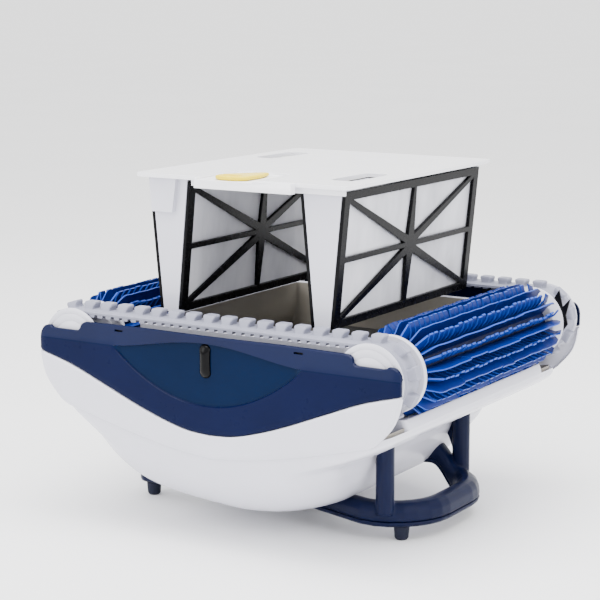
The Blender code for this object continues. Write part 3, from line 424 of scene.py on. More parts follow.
# ---------------------------------------------------------------- hull
# Hull rings from the lowest up: height at the side, front and rear; reach to front and rear; half Y; corner.
DOME = (
    (0.0205, 0.0205, 0.0205, 0.025, 0.070, 0.083, 0.042),
    (0.0240, 0.0310, 0.0320, 0.070, 0.114, 0.123, 0.056),
    (0.0310, 0.0440, 0.0450, 0.093, 0.137, 0.150, 0.060),
    (0.0430, 0.0600, 0.0600, 0.105, 0.149, 0.170, 0.055),
    (0.0600, 0.0780, 0.0800, 0.114, 0.157, 0.186, 0.048),
    (0.0770, 0.0960, 0.1000, 0.125, 0.164, 0.196, 0.042),
    (0.0865, 0.1150, 0.1150, 0.168, 0.176, 0.2010, 0.036),
    (0.0905, 0.1280, 0.1280, 0.188, 0.189, 0.2026, 0.032),
    (0.0968, 0.1365, 0.1365, 0.190, 0.191, 0.2026, 0.030),
)
BOW = 1.45


def hull_outline(front_x, rear_x, half_y, radius, corner_steps=10, side_steps=28):
    """A rounded rectangle from -rear_x to front_x with divided long sides."""
    middle, half_x = (front_x - rear_x) / 2, (front_x + rear_x) / 2
    corners = rounded_rectangle(half_x, half_y, radius, corner_steps)
    points = []
    for i, here in enumerate(corners):
        points.append(Vector((here.x + middle, here.y)))
        if i % (corner_steps + 1) == corner_steps and (i // (corner_steps + 1)) % 2 == 0:
            after = corners[i + 1]
            for step in range(1, side_steps):
                along = here.lerp(after, step / side_steps)
                points.append(Vector((along.x + middle, along.y)))
    return points


def hull_ring(row, offset=0.0, lift=0.0):
    side_z, front_z, rear_z, front_x, rear_x, half_y, radius = row
    ring = []
    for p in hull_outline(front_x - offset, rear_x - offset, half_y - offset, max(radius - offset, 0.004)):
        end_z, end_x = (front_z, front_x) if p.x > 0 else (rear_z, rear_x)
        share = min(abs(p.x) / (end_x - offset), 1.0)
        ring.append(Vector((p.x, p.y, lift + side_z + (end_z - side_z) * share**BOW)))
    return ring


def dome_rows(steps=5):
    """The dome's rows with smooth ones between them."""
    columns = []
    for column in zip(*DOME):
        columns.append(smooth_line(list(enumerate(column))))
    last = len(DOME) - 1
    return [tuple(at(i / steps) for at in columns) for i in range(last * steps + 1)]


def level_ring(z, half_x, half_y, radius):
    return hull_ring((z, z, z, half_x, half_x, half_y, radius))


def trough_half_x(z, clearance):
    reach = TROUGH_R + clearance
    rise = min(abs(AXLE["front"].z - z), reach)
    return AXLE["front"].x - math.sqrt(reach * reach - rise * rise)


def hull():
    """White tub with a smooth dome below and a grey-brown inside, whose darker colour is painted shade."""
    axle_z = AXLE["front"].z
    trough_z = [LIP_Z + 0.0012] + [LIP_Z + 0.004 + (axle_z - LIP_Z - 0.004) * i / 9 for i in range(10)]
    rows = dome_rows()
    outer = [hull_ring(row) for row in rows]
    outer.append(hull_ring((*DOME[-1][:5], HULL_HALF_Y, 0.006)))
    lip = ((0.1405, 0.1893), (0.1450, 0.1876), (0.1460, 0.1868), (0.1462, 0.1858), (0.1438, 0.1770))
    outer += [level_ring(z, x, HULL_HALF_Y, 0.006) for z, x in lip]
    outer += [level_ring(z, trough_half_x(z, 0.0), HULL_HALF_Y, 0.006) for z in trough_z]
    rim_x = trough_half_x(axle_z, 0.0)
    rim = ((RIM_Z - 0.0010, rim_x, HULL_HALF_Y), (RIM_Z, rim_x - 0.001, HULL_HALF_Y - 0.001),
           (RIM_Z, rim_x - WALL + 0.001, HULL_HALF_Y - WALL + 0.001))
    outer += [level_ring(z, x, y, 0.005) for z, x, y in rim]
    inner = [level_ring(RIM_Z - 0.0010, rim_x - WALL, HULL_HALF_Y - WALL, 0.004)]
    inner += [level_ring(z, trough_half_x(z, WALL), HULL_HALF_Y - WALL, 0.004) for z in reversed(trough_z[1:])]
    inner.append(level_ring(LIP_Z - 0.004, AXLE["front"].x - 0.010, HULL_HALF_Y - WALL, 0.004))
    inner.append(level_ring(LIP_Z - 0.0085, LIP_HALF_X - 2 * WALL, HULL_HALF_Y - WALL, 0.004))
    inner.append(hull_ring((*DOME[-1][:5], HULL_HALF_Y, 0.006), offset=WALL, lift=-0.0026))
    inner += [hull_ring(row, offset=WALL, lift=WALL) for row in reversed(rows[:-1])]
    bm = bmesh.new()
    loops = skin(bm, outer + inner)
    # Faces of the inside take the second material, the grey-brown painted shade.
    inside = {v for loop in loops[len(outer):] for v in loop}
    for face in bm.faces:
        if all(v in inside for v in face.verts):
            face.material_index = 1
    holes = []
    for at, radius, low, high, axis, steps in ((DRIVE, SHAFT_HOLE_R, -0.2, 0.2, "Y", 31),
                                               (Vector(), OUTLET_HOLE_R, 0.005, 0.05, "Z", 49),
                                               (Vector((SWIVEL.x, 0, 0)), GLAND_HOLE_R, 0.005, 0.05, "Z", 49)):
        hole = bmesh.new()
        turned(hole, [(low, radius), (high, radius)], at, axis, steps, closed=False)
        holes.append(hole)
    piece("hull_finish", carved(bm, holes), [WHITE, TUB_INSIDE_SHADE], "hull", ["hull_shell"], sharp=38)


# ---------------------------------------------------------------- side covers
PANEL_BOTTOM = smooth_line([(0.0, 0.1185), (0.026, 0.1205), (0.053, 0.1270), (0.086, 0.1380), (0.124, 0.1530),
                            (0.166, 0.1695), (0.188, 0.1760), (0.210, 0.1815)])
PANEL_TOP = straight_line([(0.0, 0.2155), (0.080, 0.2155), (0.150, 0.2146), (0.1545, 0.2140), (0.1575, 0.2120),
                           (0.1592, 0.2075), (0.1615, 0.2056), (0.165, 0.2050), (0.191, 0.2050), (0.1945, 0.2058),
                           (0.1965, 0.2075), (0.2010, 0.2074), (0.2040, 0.2064), (0.2065, 0.2045),
                           (0.2085, 0.2012), (0.2096, 0.1970), (0.210, 0.1920)])
CREASE_Z = 0.1955
RECESS_MIDDLE, RECESS_HALF = -0.005, 0.111
RECESS_LOW, RECESS_HIGH = 0.147, 0.2085
RECESS_DEPTH = 0.0022
LEAN = 0.2
END_ROLL, END_ROLL_DEPTH = 0.010, 0.0030
PANEL_THICKNESS, SKIRT_THICKNESS = 0.0026, 0.0020
SLOT_X, SLOT_Z = (-0.110, 0.100), 0.2100
PLUG_GROWTH = 1.18


def crease(x):
    """Height of the crease, which arches over the recess."""
    share = (x - RECESS_MIDDLE) / RECESS_HALF
    if abs(share) >= 1:
        return CREASE_Z
    return CREASE_Z + (RECESS_HIGH - CREASE_Z) * (0.5 + 0.5 * math.cos(math.pi * share)) ** 0.8


def recess_bottom(x):
    share = (x - RECESS_MIDDLE) / RECESS_HALF
    if abs(share) >= 1:
        return CREASE_Z
    return CREASE_Z - (CREASE_Z - RECESS_LOW) * (1 - share * share) ** 0.95


def end_roll(x):
    """How far a cover curves inwards near its ends."""
    share = max((abs(x) - (HALF_LENGTH - END_ROLL)) / END_ROLL, 0.0)
    return END_ROLL_DEPTH * (1 - math.sqrt(max(1 - share * share, 0.0)))


def columns_between(low, high, extra=(), steps=120):
    xs = {round(low + (high - low) * i / steps, 5) for i in range(steps + 1)}
    xs |= {round(s * x, 5) for x in extra for s in (-1, 1)}
    return sorted(x for x in xs if low <= x <= high)


def panel_column(x):
    """One column of the panel from its lower to its upper edge: (height, depth behind the outer face, zone)."""
    low, high = PANEL_BOTTOM(abs(x)), PANEL_TOP(abs(x))
    fold = min(crease(x), high - 0.0035)
    floor = min(recess_bottom(x), fold - 0.0012)
    deep = RECESS_DEPTH * min(max((fold - floor - 0.0012) / 0.006, 0.0), 1.0)
    shoulder = max(min(floor - 0.0014, fold - 0.003), low + 0.0022)
    floor = max(floor, shoulder + 0.0006)
    rows = [(low, 0.0014, 0), (low + 0.0006, 0.0004, 0), (low + 0.0016, 0.0, 0)]
    rows += [(low + 0.0016 + (shoulder - low - 0.0016) * i / 7, 0.0, 0) for i in range(1, 8)]
    rows += [(shoulder + (floor - shoulder) * 0.5, deep * 0.35, 0), (floor, deep, 1)]
    rows += [(floor + (fold - 0.0007 - floor) * i / 7, deep, 1) for i in range(1, 7)]
    # Zone 2, the leaning band above the crease, takes the lighter navy: painted light on the upward-tilted band.
    rows += [(fold - 0.0007, deep, 1), (fold, 0.0, 2)]
    lean_top = high - 0.0012
    rows += [(fold + (lean_top - fold) * i / 4, LEAN * (lean_top - fold) * i / 4, 2) for i in range(1, 5)]
    rows.append((high, LEAN * (high - fold) + 0.0010, 2))
    return rows


def clip_slot(x, side):
    bm = bmesh.new()
    bmesh.ops.create_cube(bm, size=1.0)
    at = Matrix.Translation((x, side * (HALF_WIDTH - 0.002), SLOT_Z)) @ Matrix.Diagonal((0.010, 0.02, 0.0020, 1))
    bm.transform(at)
    return bm


def cover_sheet(columns, side, thickness):
    """A closed shell from columns of (x, [(height, depth, zone), ...]) whose outer face looks along side Y."""
    bm = bmesh.new()
    grids = []
    for inward in (0.0, thickness):
        grid = []
        for x, rows in columns:
            edge = end_roll(x)
            face_y = HALF_WIDTH - edge
            grid.append([bm.verts.new((x, side * (face_y - depth - inward), z)) for z, depth, _ in rows])
        grids.append(grid)
    outer, inner = grids
    across, along = len(columns), len(columns[0][1])
    for i in range(across - 1):
        for k in range(along - 1):
            zone = columns[i][1][k][2] if columns[i][1][k][2] == columns[i][1][k + 1][2] else 0
            face = bm.faces.new((outer[i][k], outer[i + 1][k], outer[i + 1][k + 1], outer[i][k + 1]))
            face.material_index = zone
            bm.faces.new((inner[i][k], inner[i][k + 1], inner[i + 1][k + 1], inner[i + 1][k]))
    for i in range(across - 1):
        for k in (0, along - 1):
            bm.faces.new((outer[i][k], outer[i + 1][k], inner[i + 1][k], inner[i][k]))
    for i in (0, across - 1):
        for k in range(along - 1):
            bm.faces.new((outer[i][k], outer[i][k + 1], inner[i][k + 1], inner[i][k]))
    return bm


def side_panel(side_name):
    side = SIDES[side_name]
    breaks = (0.080, 0.150, 0.1545, 0.1560, 0.1575, 0.1584, 0.1592, 0.1602, 0.1615, 0.165, 0.191, 0.1945,
              0.1955, 0.1965, 0.199, 0.2010, 0.2025, 0.2040, 0.2053, 0.2065, 0.2076, 0.2085, 0.2091, 0.2096)
    xs = columns_between(-HALF_LENGTH, HALF_LENGTH, breaks)
    bm = cover_sheet([(x, panel_column(x)) for x in xs], side, PANEL_THICKNESS)
    bmesh.ops.recalc_face_normals(bm, faces=bm.faces)
    bm = carved(bm, [clip_slot(x, side) for x in SLOT_X])
    for x in SLOT_X:
        # The dark catch behind each slot.
        catch = bmesh.ops.create_cube(bm, size=1.0)["verts"]
        at = Matrix.Translation((x, side * (HALF_WIDTH - 0.0070), SLOT_Z))
        bmesh.ops.transform(bm, matrix=at @ Matrix.Diagonal((0.013, 0.0016, 0.0050, 1)), verts=catch)
        for face in {face for vert in catch for face in vert.link_faces}:
            face.material_index = 3
    piece(f"side_panel_{side_name}_finish", bm, [NAVY, RECESS, NAVY_LIT_BAND, BLACK], "hull",
          [f"side_panel_{side_name}"], sharp=28)


def shoulder_z(x):
    """Height of the hull's shoulder, where the skirt ends."""
    low, high = DOME[-2], DOME[-1]
    share = (abs(x) / 0.190) ** BOW
    middle = (low[0] + high[0]) / 2
    return middle + ((low[1] + high[1]) / 2 - middle) * share


SKIRT_BOTTOM = smooth_line([(x, shoulder_z(x)) for x in (0.0, 0.042, 0.086, 0.127, 0.160, 0.180)]
                           + [(0.1935, 0.1420), (0.2020, 0.1530), (0.2070, 0.1655), (0.2096, 0.1800)])


def side_skirt(side_name):
    side = SIDES[side_name]
    columns = []
    for x in columns_between(-0.2094, 0.2094, (0.190, 0.196, 0.200, 0.204, 0.2065, 0.208, 0.209)):
        high = PANEL_BOTTOM(abs(x)) - 0.0007
        low = min(SKIRT_BOTTOM(abs(x)), high - 0.002)
        roll = min(0.007, (high - low) * 0.6)
        rows = []
        for i in range(7):
            angle = math.pi / 2 * i / 6
            rows.append((low + roll * (1 - math.cos(angle)), 0.0034 * (1 - math.sin(angle)), 0))
        rows += [(low + roll + (high - 0.001 - low - roll) * i / 6, 0.0, 0) for i in range(1, 7)]
        rows.append((high, 0.0008, 0))
        columns.append((x, rows))
    piece(f"side_skirt_{side_name}_finish", cover_sheet(columns, side, SKIRT_THICKNESS), [WHITE], "hull",
          [f"side_skirt_{side_name}"], sharp=50)


def side_plug(side_name):
    """Glossy waisted plug in a round-ended seat."""
    side = SIDES[side_name]
    low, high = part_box(f"side_plug_{side_name}")
    centre, half = (low + high) / 2, (high - low) / 2 * PLUG_GROWTH
    base_y, top_y = HALF_WIDTH - 0.004, high.y if side > 0 else -low.y
    rings = []
    for share in (0.0, 0.35, 0.6, 0.8, 0.92, 0.98, 1.0):
        size = math.sqrt(max(1 - share**2.2, 0.0)) if share < 1 else 0.12
        y = base_y + (top_y - base_y) * share
        ring = []
        for i in range(40):
            angle = math.tau * i / 40
            reach = half.z - half.x
            waist = 1.0 - 0.20 * math.exp(-((math.sin(angle) * half.z / 0.004) ** 2) * 0.35)
            x = half.x * math.cos(angle) * waist
            z = reach * math.tanh(4 * math.sin(angle)) + half.x * math.sin(angle)
            ring.append(Vector((centre.x + x * size, side * y, centre.z + z * (0.35 + 0.65 * size))))
        rings.append(ring)
    piece(f"side_plug_{side_name}_finish", solid(rings), [PLUG], "hull",
          [f"side_plug_{side_name}"], sharp=60)


# ---------------------------------------------------------------- tracks
KNOB_Y = (0.1705, 0.1862)
BELT, BELT_STEP = 0.003, 0.0035
WRAP_R, PULLEY_WRAP_R = 0.0310, 0.0245  # of the belt's inner face
FLANGE_R = 0.0376
KNOB_PITCH = 0.0209


def belt_line():
    """The belt's inner line in XZ as (point, outward normal) against distance, and its length."""
    circles = [(Vector((AXLE["front"].x, AXLE["front"].z)), WRAP_R),
               (Vector((AXLE["rear"].x, AXLE["rear"].z)), WRAP_R),
               (Vector((DRIVE.x, DRIVE.z)), PULLEY_WRAP_R)]
    normals = []
    for i, (centre, radius) in enumerate(circles):
        other, other_radius = circles[(i + 1) % 3]
        along = other - centre
        normals.append(math.atan2(along.y, along.x) - math.acos((radius - other_radius) / along.length))
    runs = []
    for i, (centre, radius) in enumerate(circles):
        sweep = (normals[i] - normals[i - 1]) % math.tau
        runs.append(("arc", centre, radius, normals[i - 1], radius * sweep))
        other, other_radius = circles[(i + 1) % 3]
        out = Vector((math.cos(normals[i]), math.sin(normals[i])))
        start, end = centre + radius * out, other + other_radius * out
        runs.append(("line", start, end, out, (end - start).length))
    total = sum(run[4] for run in runs)

    def at(distance):
        distance %= total
        for run in runs:
            if distance > run[4]:
                distance -= run[4]
                continue
            if run[0] == "arc":
                angle = run[3] + distance / run[2]
                out = Vector((math.cos(angle), math.sin(angle)))
                return run[1] + run[2] * out, out
            return run[1].lerp(run[2], distance / run[4]), run[3]
        return at(0.0)

    return at, total


def knob(bm, point, out, side):
    """A dovetailed rubber knob with a dished top."""
    along = Vector((out.y, -out.x))
    middle, half_y = (KNOB_Y[0] + KNOB_Y[1]) / 2, (KNOB_Y[1] - KNOB_Y[0]) / 2
    levels = ((-0.0006, 0.0056, 1.02, 0.0014), (0.0012, 0.0050, 0.97, 0.0016), (0.0030, 0.0053, 0.96, 0.0018),
              (0.0052, 0.0067, 0.95, 0.0024), (0.0066, 0.0068, 0.92, 0.0026), (0.0075, 0.0062, 0.84, 0.0024),
              (0.0075, 0.0046, 0.66, 0.0018), (0.0068, 0.0022, 0.36, 0.0009))
    rings = []
    for height, half_along, share, radius in levels:
        ring = []
        for p in rounded_rectangle(half_along, half_y * share, radius, 4):
            # The outer end of the knob leans back as it rises.
            lean = max(p.y, 0.0) / half_y * max(height, 0.0) * 0.45
            centre = point + out * (BELT + height) + along * p.x
            ring.append(Vector((centre.x, side * (middle + p.y - lean), centre.y)))
        rings.append(ring)
    skin(bm, rings)


def drive_tooth(bm, point, out, side):
    """A low tooth inside the belt, seen as a dashed line along its outer edge."""
    along = Vector((out.y, -out.x))
    rings = []
    for depth, half in ((-0.0003, 0.0033), (0.0022, 0.0031), (0.0029, 0.0025)):
        ring = []
        for a, y in ((-half, 0.1700), (half, 0.1700), (half, 0.1941), (-half, 0.1941)):
            p = point - out * depth + along * a
            ring.append(Vector((p.x, side * y, p.y)))
        rings.append(ring)
    skin(bm, rings)


def track(side_name):
    """Belt with an outer row of knobs and inner drive teeth."""
    side = SIDES[side_name]
    at, total = belt_line()
    section = ((0.0, 0.163), (0.0, 0.1943), (0.0004, 0.1945), (0.0024, 0.1945), (0.0030, 0.1938), (0.0030, 0.1892),
               (0.0037, 0.1884), (0.0037, 0.1685), (0.0030, 0.1677), (0.0030, 0.1637), (0.0024, 0.163))
    count = round(total / BELT_STEP)
    rings = []
    for i in range(count):
        point, out = at(total * i / count)
        rings.append([Vector(((point + out * h).x, side * y, (point + out * h).y)) for h, y in section])
    bm = solid(rings, closed=True)
    knobs = round(total / KNOB_PITCH)
    for i in range(knobs):
        point, out = at(total * (i + 0.28) / knobs)
        knob(bm, point, out, side)
    for i in range(2 * knobs):
        point, out = at(total * (i + 0.5) / (2 * knobs))
        drive_tooth(bm, point, out, side)
    piece(f"track_{side_name}_finish", bm, [TRACK], "hull", [f"track_{side_name}"], sharp=40)


# ---------------------------------------------------------------- axles
def wheel(end, side_name):
    """White wheel: hub, flange beside the brush, belt seat and a stepped outer cap."""
    side = SIDES[side_name]
    # The wheel that carries the fork has a thinner flange, with the fork's ring clipped behind it.
    back = 0.1574 if (end, side_name) == ("front", "right") else 0.1597
    profile = [(0.1265, 0.0065), (0.1265, 0.0174), (0.1273, 0.0182), (0.1471, 0.0182), (0.1473, 0.0290),
               (0.1480, 0.0300), (0.1530, 0.0335), (0.1541, FLANGE_R - 0.0006), (0.1548, FLANGE_R),
               (back - 0.0007, FLANGE_R), (back, FLANGE_R - 0.0006), (back + 0.0001, 0.0338), (0.1600, 0.0338),
               (0.1603, 0.0292), (0.1610, 0.0280),
               (0.1950, 0.0280), (0.1952, 0.0350), (0.1958, 0.0360), (0.1966, 0.0360), (0.1976, 0.0345),
               (0.1980, 0.0312), (0.1976, 0.0304), (0.1980, 0.0296), (0.1987, 0.0240), (0.1983, 0.0230),
               (0.1988, 0.0222), (0.1993, 0.0130), (0.1993, 0.0090), (0.1980, 0.0065)]
    bm = bmesh.new()
    turned(bm, [(side * y, r) for y, r in profile], AXLE[end])
    piece(f"{end}_wheel_{side_name}_finish", bm, [WHEEL], f"{end}_axle",
          [f"{end}_wheel_{side_name}"], sharp=40)


def claw_ring():
    """Black ring with a forked claw, clipped behind the flange of the front right wheel."""
    bm = cad_bmesh("front_claw_ring")
    low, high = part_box("front_claw_ring")
    for vert in bm.verts:
        vert.co.y = 0.1577 + 0.0020 * (vert.co.y - low.y) / (high.y - low.y)
    piece("front_claw_ring_finish", bm, [BLACK], "front_axle", ["front_claw_ring"],
          sharp=30, bevel=0.0003)


BRUSH_HALF_Y = 0.1465
BRUSH_R, BRUSH_LEFT_R, BRUSH_RIGHT_R, BRUSH_TAPER = 0.0458, 0.0340, 0.0405, 0.014
ROOT_R, CORE_R, CORE_BORE_R = 0.0212, 0.0215, 0.0186
ROWS = 12


def brush_tip(y):
    """Tip radius of the brush at a station along it. The right end tapers less."""
    end_r = BRUSH_LEFT_R if y < 0 else BRUSH_RIGHT_R
    return BRUSH_R - (BRUSH_R - end_r) * max((abs(y) - BRUSH_HALF_Y + BRUSH_TAPER) / BRUSH_TAPER, 0.0)


def ribbon(bm, centre, stations, thickness):
    """A bent strip. Each station is (y, angle, [(radius, sideways shift), ...]) from root to tip."""
    rings = []
    for y, angle, path in stations:
        out = Vector((math.cos(angle), 0, math.sin(angle)))
        across = Vector((-out.z, 0, out.x))
        ring = []
        for half, points in ((-1, path), (1, list(reversed(path)))):
            for radius, shift in points:
                p = centre + out * radius + across * (shift + half * thickness / 2)
                ring.append(Vector((p.x, centre.y + y, p.z)))
        rings.append(ring)
    rows = skin(bm, rings)
    knees = len(stations[0][2])
    # Tip faces and the strip's end caps take the second material, a painted highlight.
    for low, high in zip(rows, rows[1:]):
        tip = {low[knees - 1], low[knees], high[knees - 1], high[knees]}
        for face in low[knees - 1].link_faces:
            if set(face.verts) == tip:
                face.material_index = 1
    for loop in (rows[0], rows[-1]):
        for face in loop[0].link_faces:
            if len(face.verts) == len(loop):
                face.material_index = 1


def long_fin(bm, centre, angle, dice):
    """A thin fin in staggered lengths, a little wavy, that closes to the core at both ends."""
    cuts = sorted(dice.uniform(-0.11, 0.11) for _ in range(3))
    edges = [-BRUSH_HALF_Y, *cuts, BRUSH_HALF_Y]
    wave, phase = dice.uniform(0.0001, 0.0004), dice.uniform(0, math.tau)
    for i, (low, high) in enumerate(zip(edges, edges[1:])):
        shift = 0.0007 if i % 2 else -0.0003
        drop = 0.0016 if i % 2 else 0.0009
        gap = 0.0003
        steps = max(int((high - low) / 0.004), 3)
        stations = []
        for k in range(steps + 1):
            y = low + gap + (high - low - 2 * gap) * k / steps
            tip = brush_tip(y) - drop + 0.0003 * math.sin(y * 210 + phase * 2)
            bend = shift + wave * math.sin(y * 95 + phase)
            path = [(ROOT_R, 0.0), (ROOT_R + (tip - ROOT_R) * 0.45, 0.0016 + bend * 0.4),
                    (ROOT_R + (tip - ROOT_R) * 0.8, 0.0012 + bend * 0.9), (tip, bend - 0.0002)]
            stations.append((y, angle, path))
        ribbon(bm, centre, stations, 0.0013)


def comb(bm, centre, angle, lean, dice):
    """A row of kneed tabs that lean one way, with slits between them and a longer tab at each end."""
    long_tab, gap, count = 0.0125, 0.0030, 26
    start = -BRUSH_HALF_Y + 0.0008
    pitch = -2 * (start + long_tab) / count
    spans = [(start, start + long_tab)]
    for i in range(count - 1):
        spans.append((start + long_tab + pitch * i + gap, start + long_tab + pitch * (i + 1)))
    spans.append((-start - long_tab, -start))
    for low, high in spans:
        sway = dice.uniform(-0.0006, 0.0006)
        drop = 0.0006 if high - low > 0.01 else 0.0008 + dice.uniform(-0.0004, 0.0004)
        stations = []
        for y in (low, (low + high) / 2, high):
            tip = brush_tip(y) - drop
            path = [(ROOT_R, 0.0), (tip - 0.0130, 0.0016), (tip - 0.0065, 0.0014 + sway),
                    (tip, -0.0016 + sway * 2)]
            stations.append((y, angle, [(radius, lean * shift) for radius, shift in path]))
        ribbon(bm, centre, stations, 0.0018)


def brush(end):
    """Soft brush sleeve: long fins with rows of slit tabs between them, on a ribbed core."""
    dice = random.Random(7 if end == "front" else 11)
    centre = AXLE[end]
    bm = bmesh.new()
    for i in range(ROWS):
        angle = math.tau * i / ROWS + 0.12
        long_fin(bm, centre, angle, dice)
        comb(bm, centre, angle + math.pi / ROWS, -ENDS[end], dice)
    piece(f"{end}_brush_blades_finish", bm, [BRUSH, BRUSH_TIP_HIGHLIGHT], f"{end}_axle",
          [f"{end}_brush_blades"], sharp=40)
    core = bmesh.new()
    low, high, radius = -BRUSH_HALF_Y, BRUSH_HALF_Y, CORE_R
    turned(core, [(low, CORE_BORE_R), (low, radius - 0.0006), (low + 0.0006, radius),
                  (high - 0.0006, radius),
                  (high, radius - 0.0006), (high, CORE_BORE_R)], centre, steps=48)
    piece(f"{end}_brush_core_finish", core, [CORE], f"{end}_axle", [f"{end}_brush_core"], sharp=40)


# ---------------------------------------------------------------- filter basket
def frame_axes(end, face):
    """The slope of a filter frame: bottom edge, unit vector up the slope, outward normal, height."""
    low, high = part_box(f"filter_cloth_{end}_{face}")
    sign = ENDS[end]
    outward = sign if face == "outer" else -sign
    near, far = sorted((abs(low.x), abs(high.x)))
    bottom_x, top_x = (near, far) if face == "outer" else (far, near)
    bottom, top = Vector((sign * bottom_x, 0, low.z)), Vector((sign * top_x, 0, high.z))
    up = (top - bottom).normalized()
    return bottom, up, Vector((up.z, 0, -up.x)) * outward, (top - bottom).length


def filter_sheet(end, face):
    """Woven cloth held by its frame, with shallow folds between the ribs."""
    bottom, up, normal, height = frame_axes(end, face)
    low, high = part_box(f"filter_cloth_{end}_{face}")
    half_y = (high.y - low.y) / 2
    seed = Vector((3.1 * ENDS[end], 7.7 if face == "outer" else 1.3, 0.5))
    bm = bmesh.new()
    across, along = 110, 52
    grid = []
    for i in range(across + 1):
        row = []
        for k in range(along + 1):
            u, v = i / across, k / along
            y, s = (2 * u - 1) * half_y, v * height
            hold = min(u, 1 - u, v, 1 - v) * 9
            hold = min(hold, 1.0) * min(abs(u - 0.5) * 16, 1.0)
            fold = noise.noise(Vector((y * 42, s * 11, 0)) + seed) * 0.0011
            fold += noise.noise(Vector((y * 120, s * 30, 2)) + seed) * 0.0003
            p = bottom + up * s + normal * (fold * hold - 0.0002)
            row.append(bm.verts.new((p.x, y, p.z)))
        grid.append(row)
    for i in range(across):
        for k in range(along):
            bm.faces.new((grid[i][k], grid[i + 1][k], grid[i + 1][k + 1], grid[i][k + 1]))
    obj = piece(f"filter_cloth_{end}_{face}_finish", bm, [CLOTH], "filter_basket",
                [f"filter_cloth_{end}_{face}"], sharp=180)
    thick = obj.modifiers.new("thickness", "SOLIDIFY")
    thick.thickness = 0.0004


def latch():
    """Yellow sliding latch with a rounded nose and finger ribs."""
    low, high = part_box("lid_latch")
    centre_x, half_x = (low.x + high.x) / 2, (high.x - low.x) / 2
    levels = ((low.z, 0.94), (low.z + 0.0008, 1.0), (high.z - 0.0012, 1.0), (high.z - 0.0003, 0.96),
              (high.z, 0.88))
    base = []
    length = high.y - low.y
    steps = 18
    for i in range(steps + 1):
        angle = math.pi * i / steps
        base.append((half_x * math.cos(angle), 0.010 - 0.010 * math.sin(angle)))
    base += [(-half_x * 0.92, 0.022), (-half_x * 0.45, length * 0.62), (half_x * 0.45, length),
             (half_x * 0.72, length), (half_x, length * 0.55)]
    rings = []
    for z, share in levels:
        rings.append([Vector((centre_x + x * share, low.y + 0.012 + (y - 0.012) * share, z))
                      for x, y in base])
    bm = solid(rings)
    for i in range(3):
        rib = bmesh.new()
        bmesh.ops.create_cube(rib, size=1.0)
        at = Matrix.Translation((centre_x - 0.002, low.y + 0.006 + 0.004 * i, high.z - 0.0002))
        rib.transform(at @ Matrix.Diagonal((half_x * (1.30 - 0.1 * i), 0.0014, 0.0012, 1)))
        mesh = bpy.data.meshes.new("rib")
        rib.to_mesh(mesh)
        rib.free()
        bm.from_mesh(mesh)
        bpy.data.meshes.remove(mesh)
    piece("lid_latch_finish", bm, [YELLOW], "lid_latch", ["lid_latch"], sharp=40, bevel=0.0003)


# ---------------------------------------------------------------- stage
def stage():
    bm = bmesh.new()
    bmesh.ops.create_circle(bm, cap_ends=True, radius=60, segments=64)
    mesh = bpy.data.meshes.new("floor")
    bm.to_mesh(mesh)
    bm.free()
    floor = bpy.data.objects.new("floor", mesh)
    bpy.context.scene.collection.objects.link(floor)
    shader = Shader("floor_white", 0.7, Specular_IOR_Level=0.2)
    shader.colour(shader.noise(2.0, 2.0), [(0.3, (0.90, 0.90, 0.905)), (0.7, (0.92, 0.92, 0.925))])
    mesh.materials.append(shader.material)


def area_light(name, location, target, size, power, colour=(1, 1, 1)):
    light = bpy.data.lights.new(name, "AREA")
    light.shape = "RECTANGLE"
    light.size, light.size_y = size
    light.energy = power
    light.color = colour
    obj = bpy.data.objects.new(name, light)
    obj.location = location
    obj.rotation_euler = (Vector(target) - Vector(location)).to_track_quat("-Z", "Y").to_euler()
    bpy.context.scene.collection.objects.link(obj)


def lights():
    world = bpy.data.worlds.new("studio")
    world.use_nodes = True
    background = world.node_tree.nodes["Background"]
    background.inputs["Color"].default_value = (1.0, 1.0, 1.0, 1.0)
    background.inputs["Strength"].default_value = 2.2
    bpy.context.scene.world = world
    area_light("overhead", (0.2, -0.3, 1.9), (0, 0, 0.1), (1.8, 1.4), 75)
    area_light("left_front", (-1.1, -1.7, 1.1), (0, 0, 0.18), (1.2, 1.2), 22)
    area_light("right_strip", (1.9, -0.5, 0.8), (0, 0, 0.15), (0.5, 1.4), 14)


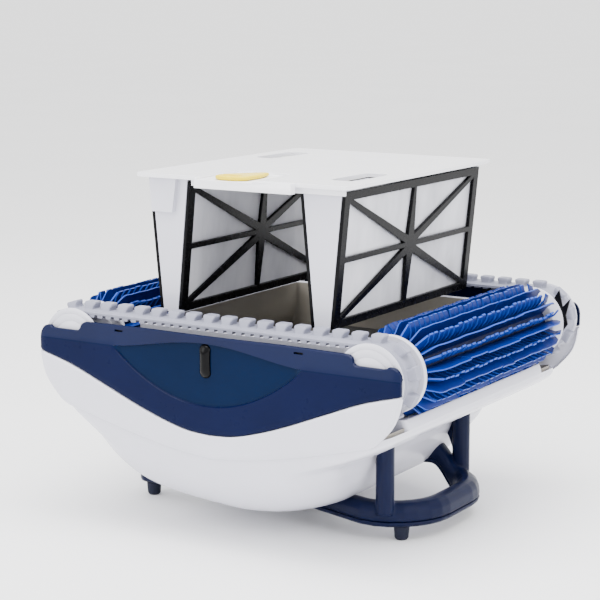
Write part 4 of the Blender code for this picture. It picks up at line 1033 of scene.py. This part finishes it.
def camera():
    """The photograph's view: a long lens, a little above the machine, past its front left corner."""
    data = bpy.data.cameras.new("camera")
    data.sensor_width = 36.0
    data.lens = 109.83
    obj = bpy.data.objects.new("camera", data)
    azimuth, elevation = math.radians(31.745), math.radians(10.056)
    back = Vector((math.sin(azimuth) * math.cos(elevation), -math.cos(azimuth) * math.cos(elevation),
                   math.sin(elevation)))
    obj.location = (0.9823, -1.6260, 0.5576)
    obj.rotation_euler = back.to_track_quat("Z", "Y").to_euler()
    bpy.context.scene.collection.objects.link(obj)
    bpy.context.scene.camera = obj


# ---------------------------------------------------------------- assembly
def main():
    camera()
    stage()
    lights()
    hull()
    for side_name in SIDES:
        side_panel(side_name)
        side_skirt(side_name)
        side_plug(side_name)
        track(side_name)
        refined(f"drive_pulley_{side_name}", WHEEL, "drive_axle")
        refined(f"shaft_bush_{side_name}", BLACK, "hull", bevel=0.0003)
        flowing(f"rear_rail_{side_name}", HANDLE, "hull")
        for end in ENDS:
            wheel(end, side_name)
            refined(f"{end}_axle_pin_{side_name}", STEEL, "hull", bevel=0.0004)
            refined(f"foot_{end}_{side_name}", SOLE, "hull", bevel=0.0008)
    for end in ENDS:
        brush(end)
        refined(f"cartridge_{end}", WHITE, "filter_basket", bevel=0.0007)
        refined(f"inlet_flap_{end}", WHITE, f"inlet_flap_{end}", bevel=0.0003)
        for face in ("inner", "outer"):
            refined(f"filter_frame_{end}_{face}", FRAME, "filter_basket", bevel=0.0006)
            filter_sheet(end, face)
    flowing("handle_strip", HANDLE, "hull", passes=5, bend=far_arm)
    flowing("handle_tube", HANDLE, "hull", bend=far_arm)
    refined("lid_plate", LID_WHITE, "filter_basket", bevel=0.0009)
    latch()
    claw_ring()
    refined("outlet_grille", WHITE, "hull", bevel=0.0005)
    refined("impeller_duct", CASE, "hull", bevel=0.0003)
    refined("impeller", BLACK, "pump_rotor", bevel=0.0003)
    refined("impeller_shaft", STEEL, "pump_rotor", bevel=0.0003)
    refined("swivel_gland", BLACK, "cable_swivel", bevel=0.0004)
    refined("motor_unit_case", CASE, "hull", bevel=0.0008)
    refined("motor_unit_cover", BLACK, "hull", bevel=0.0008)
    refined("drive_motor", CAN, "hull", bevel=0.0005)
    refined("pump_motor", CAN, "hull", bevel=0.0005)
    refined("control_board", BOARD, "hull", bevel=0.0002)
    refined("drive_shaft", STEEL, "drive_axle", bevel=0.0003)


main()
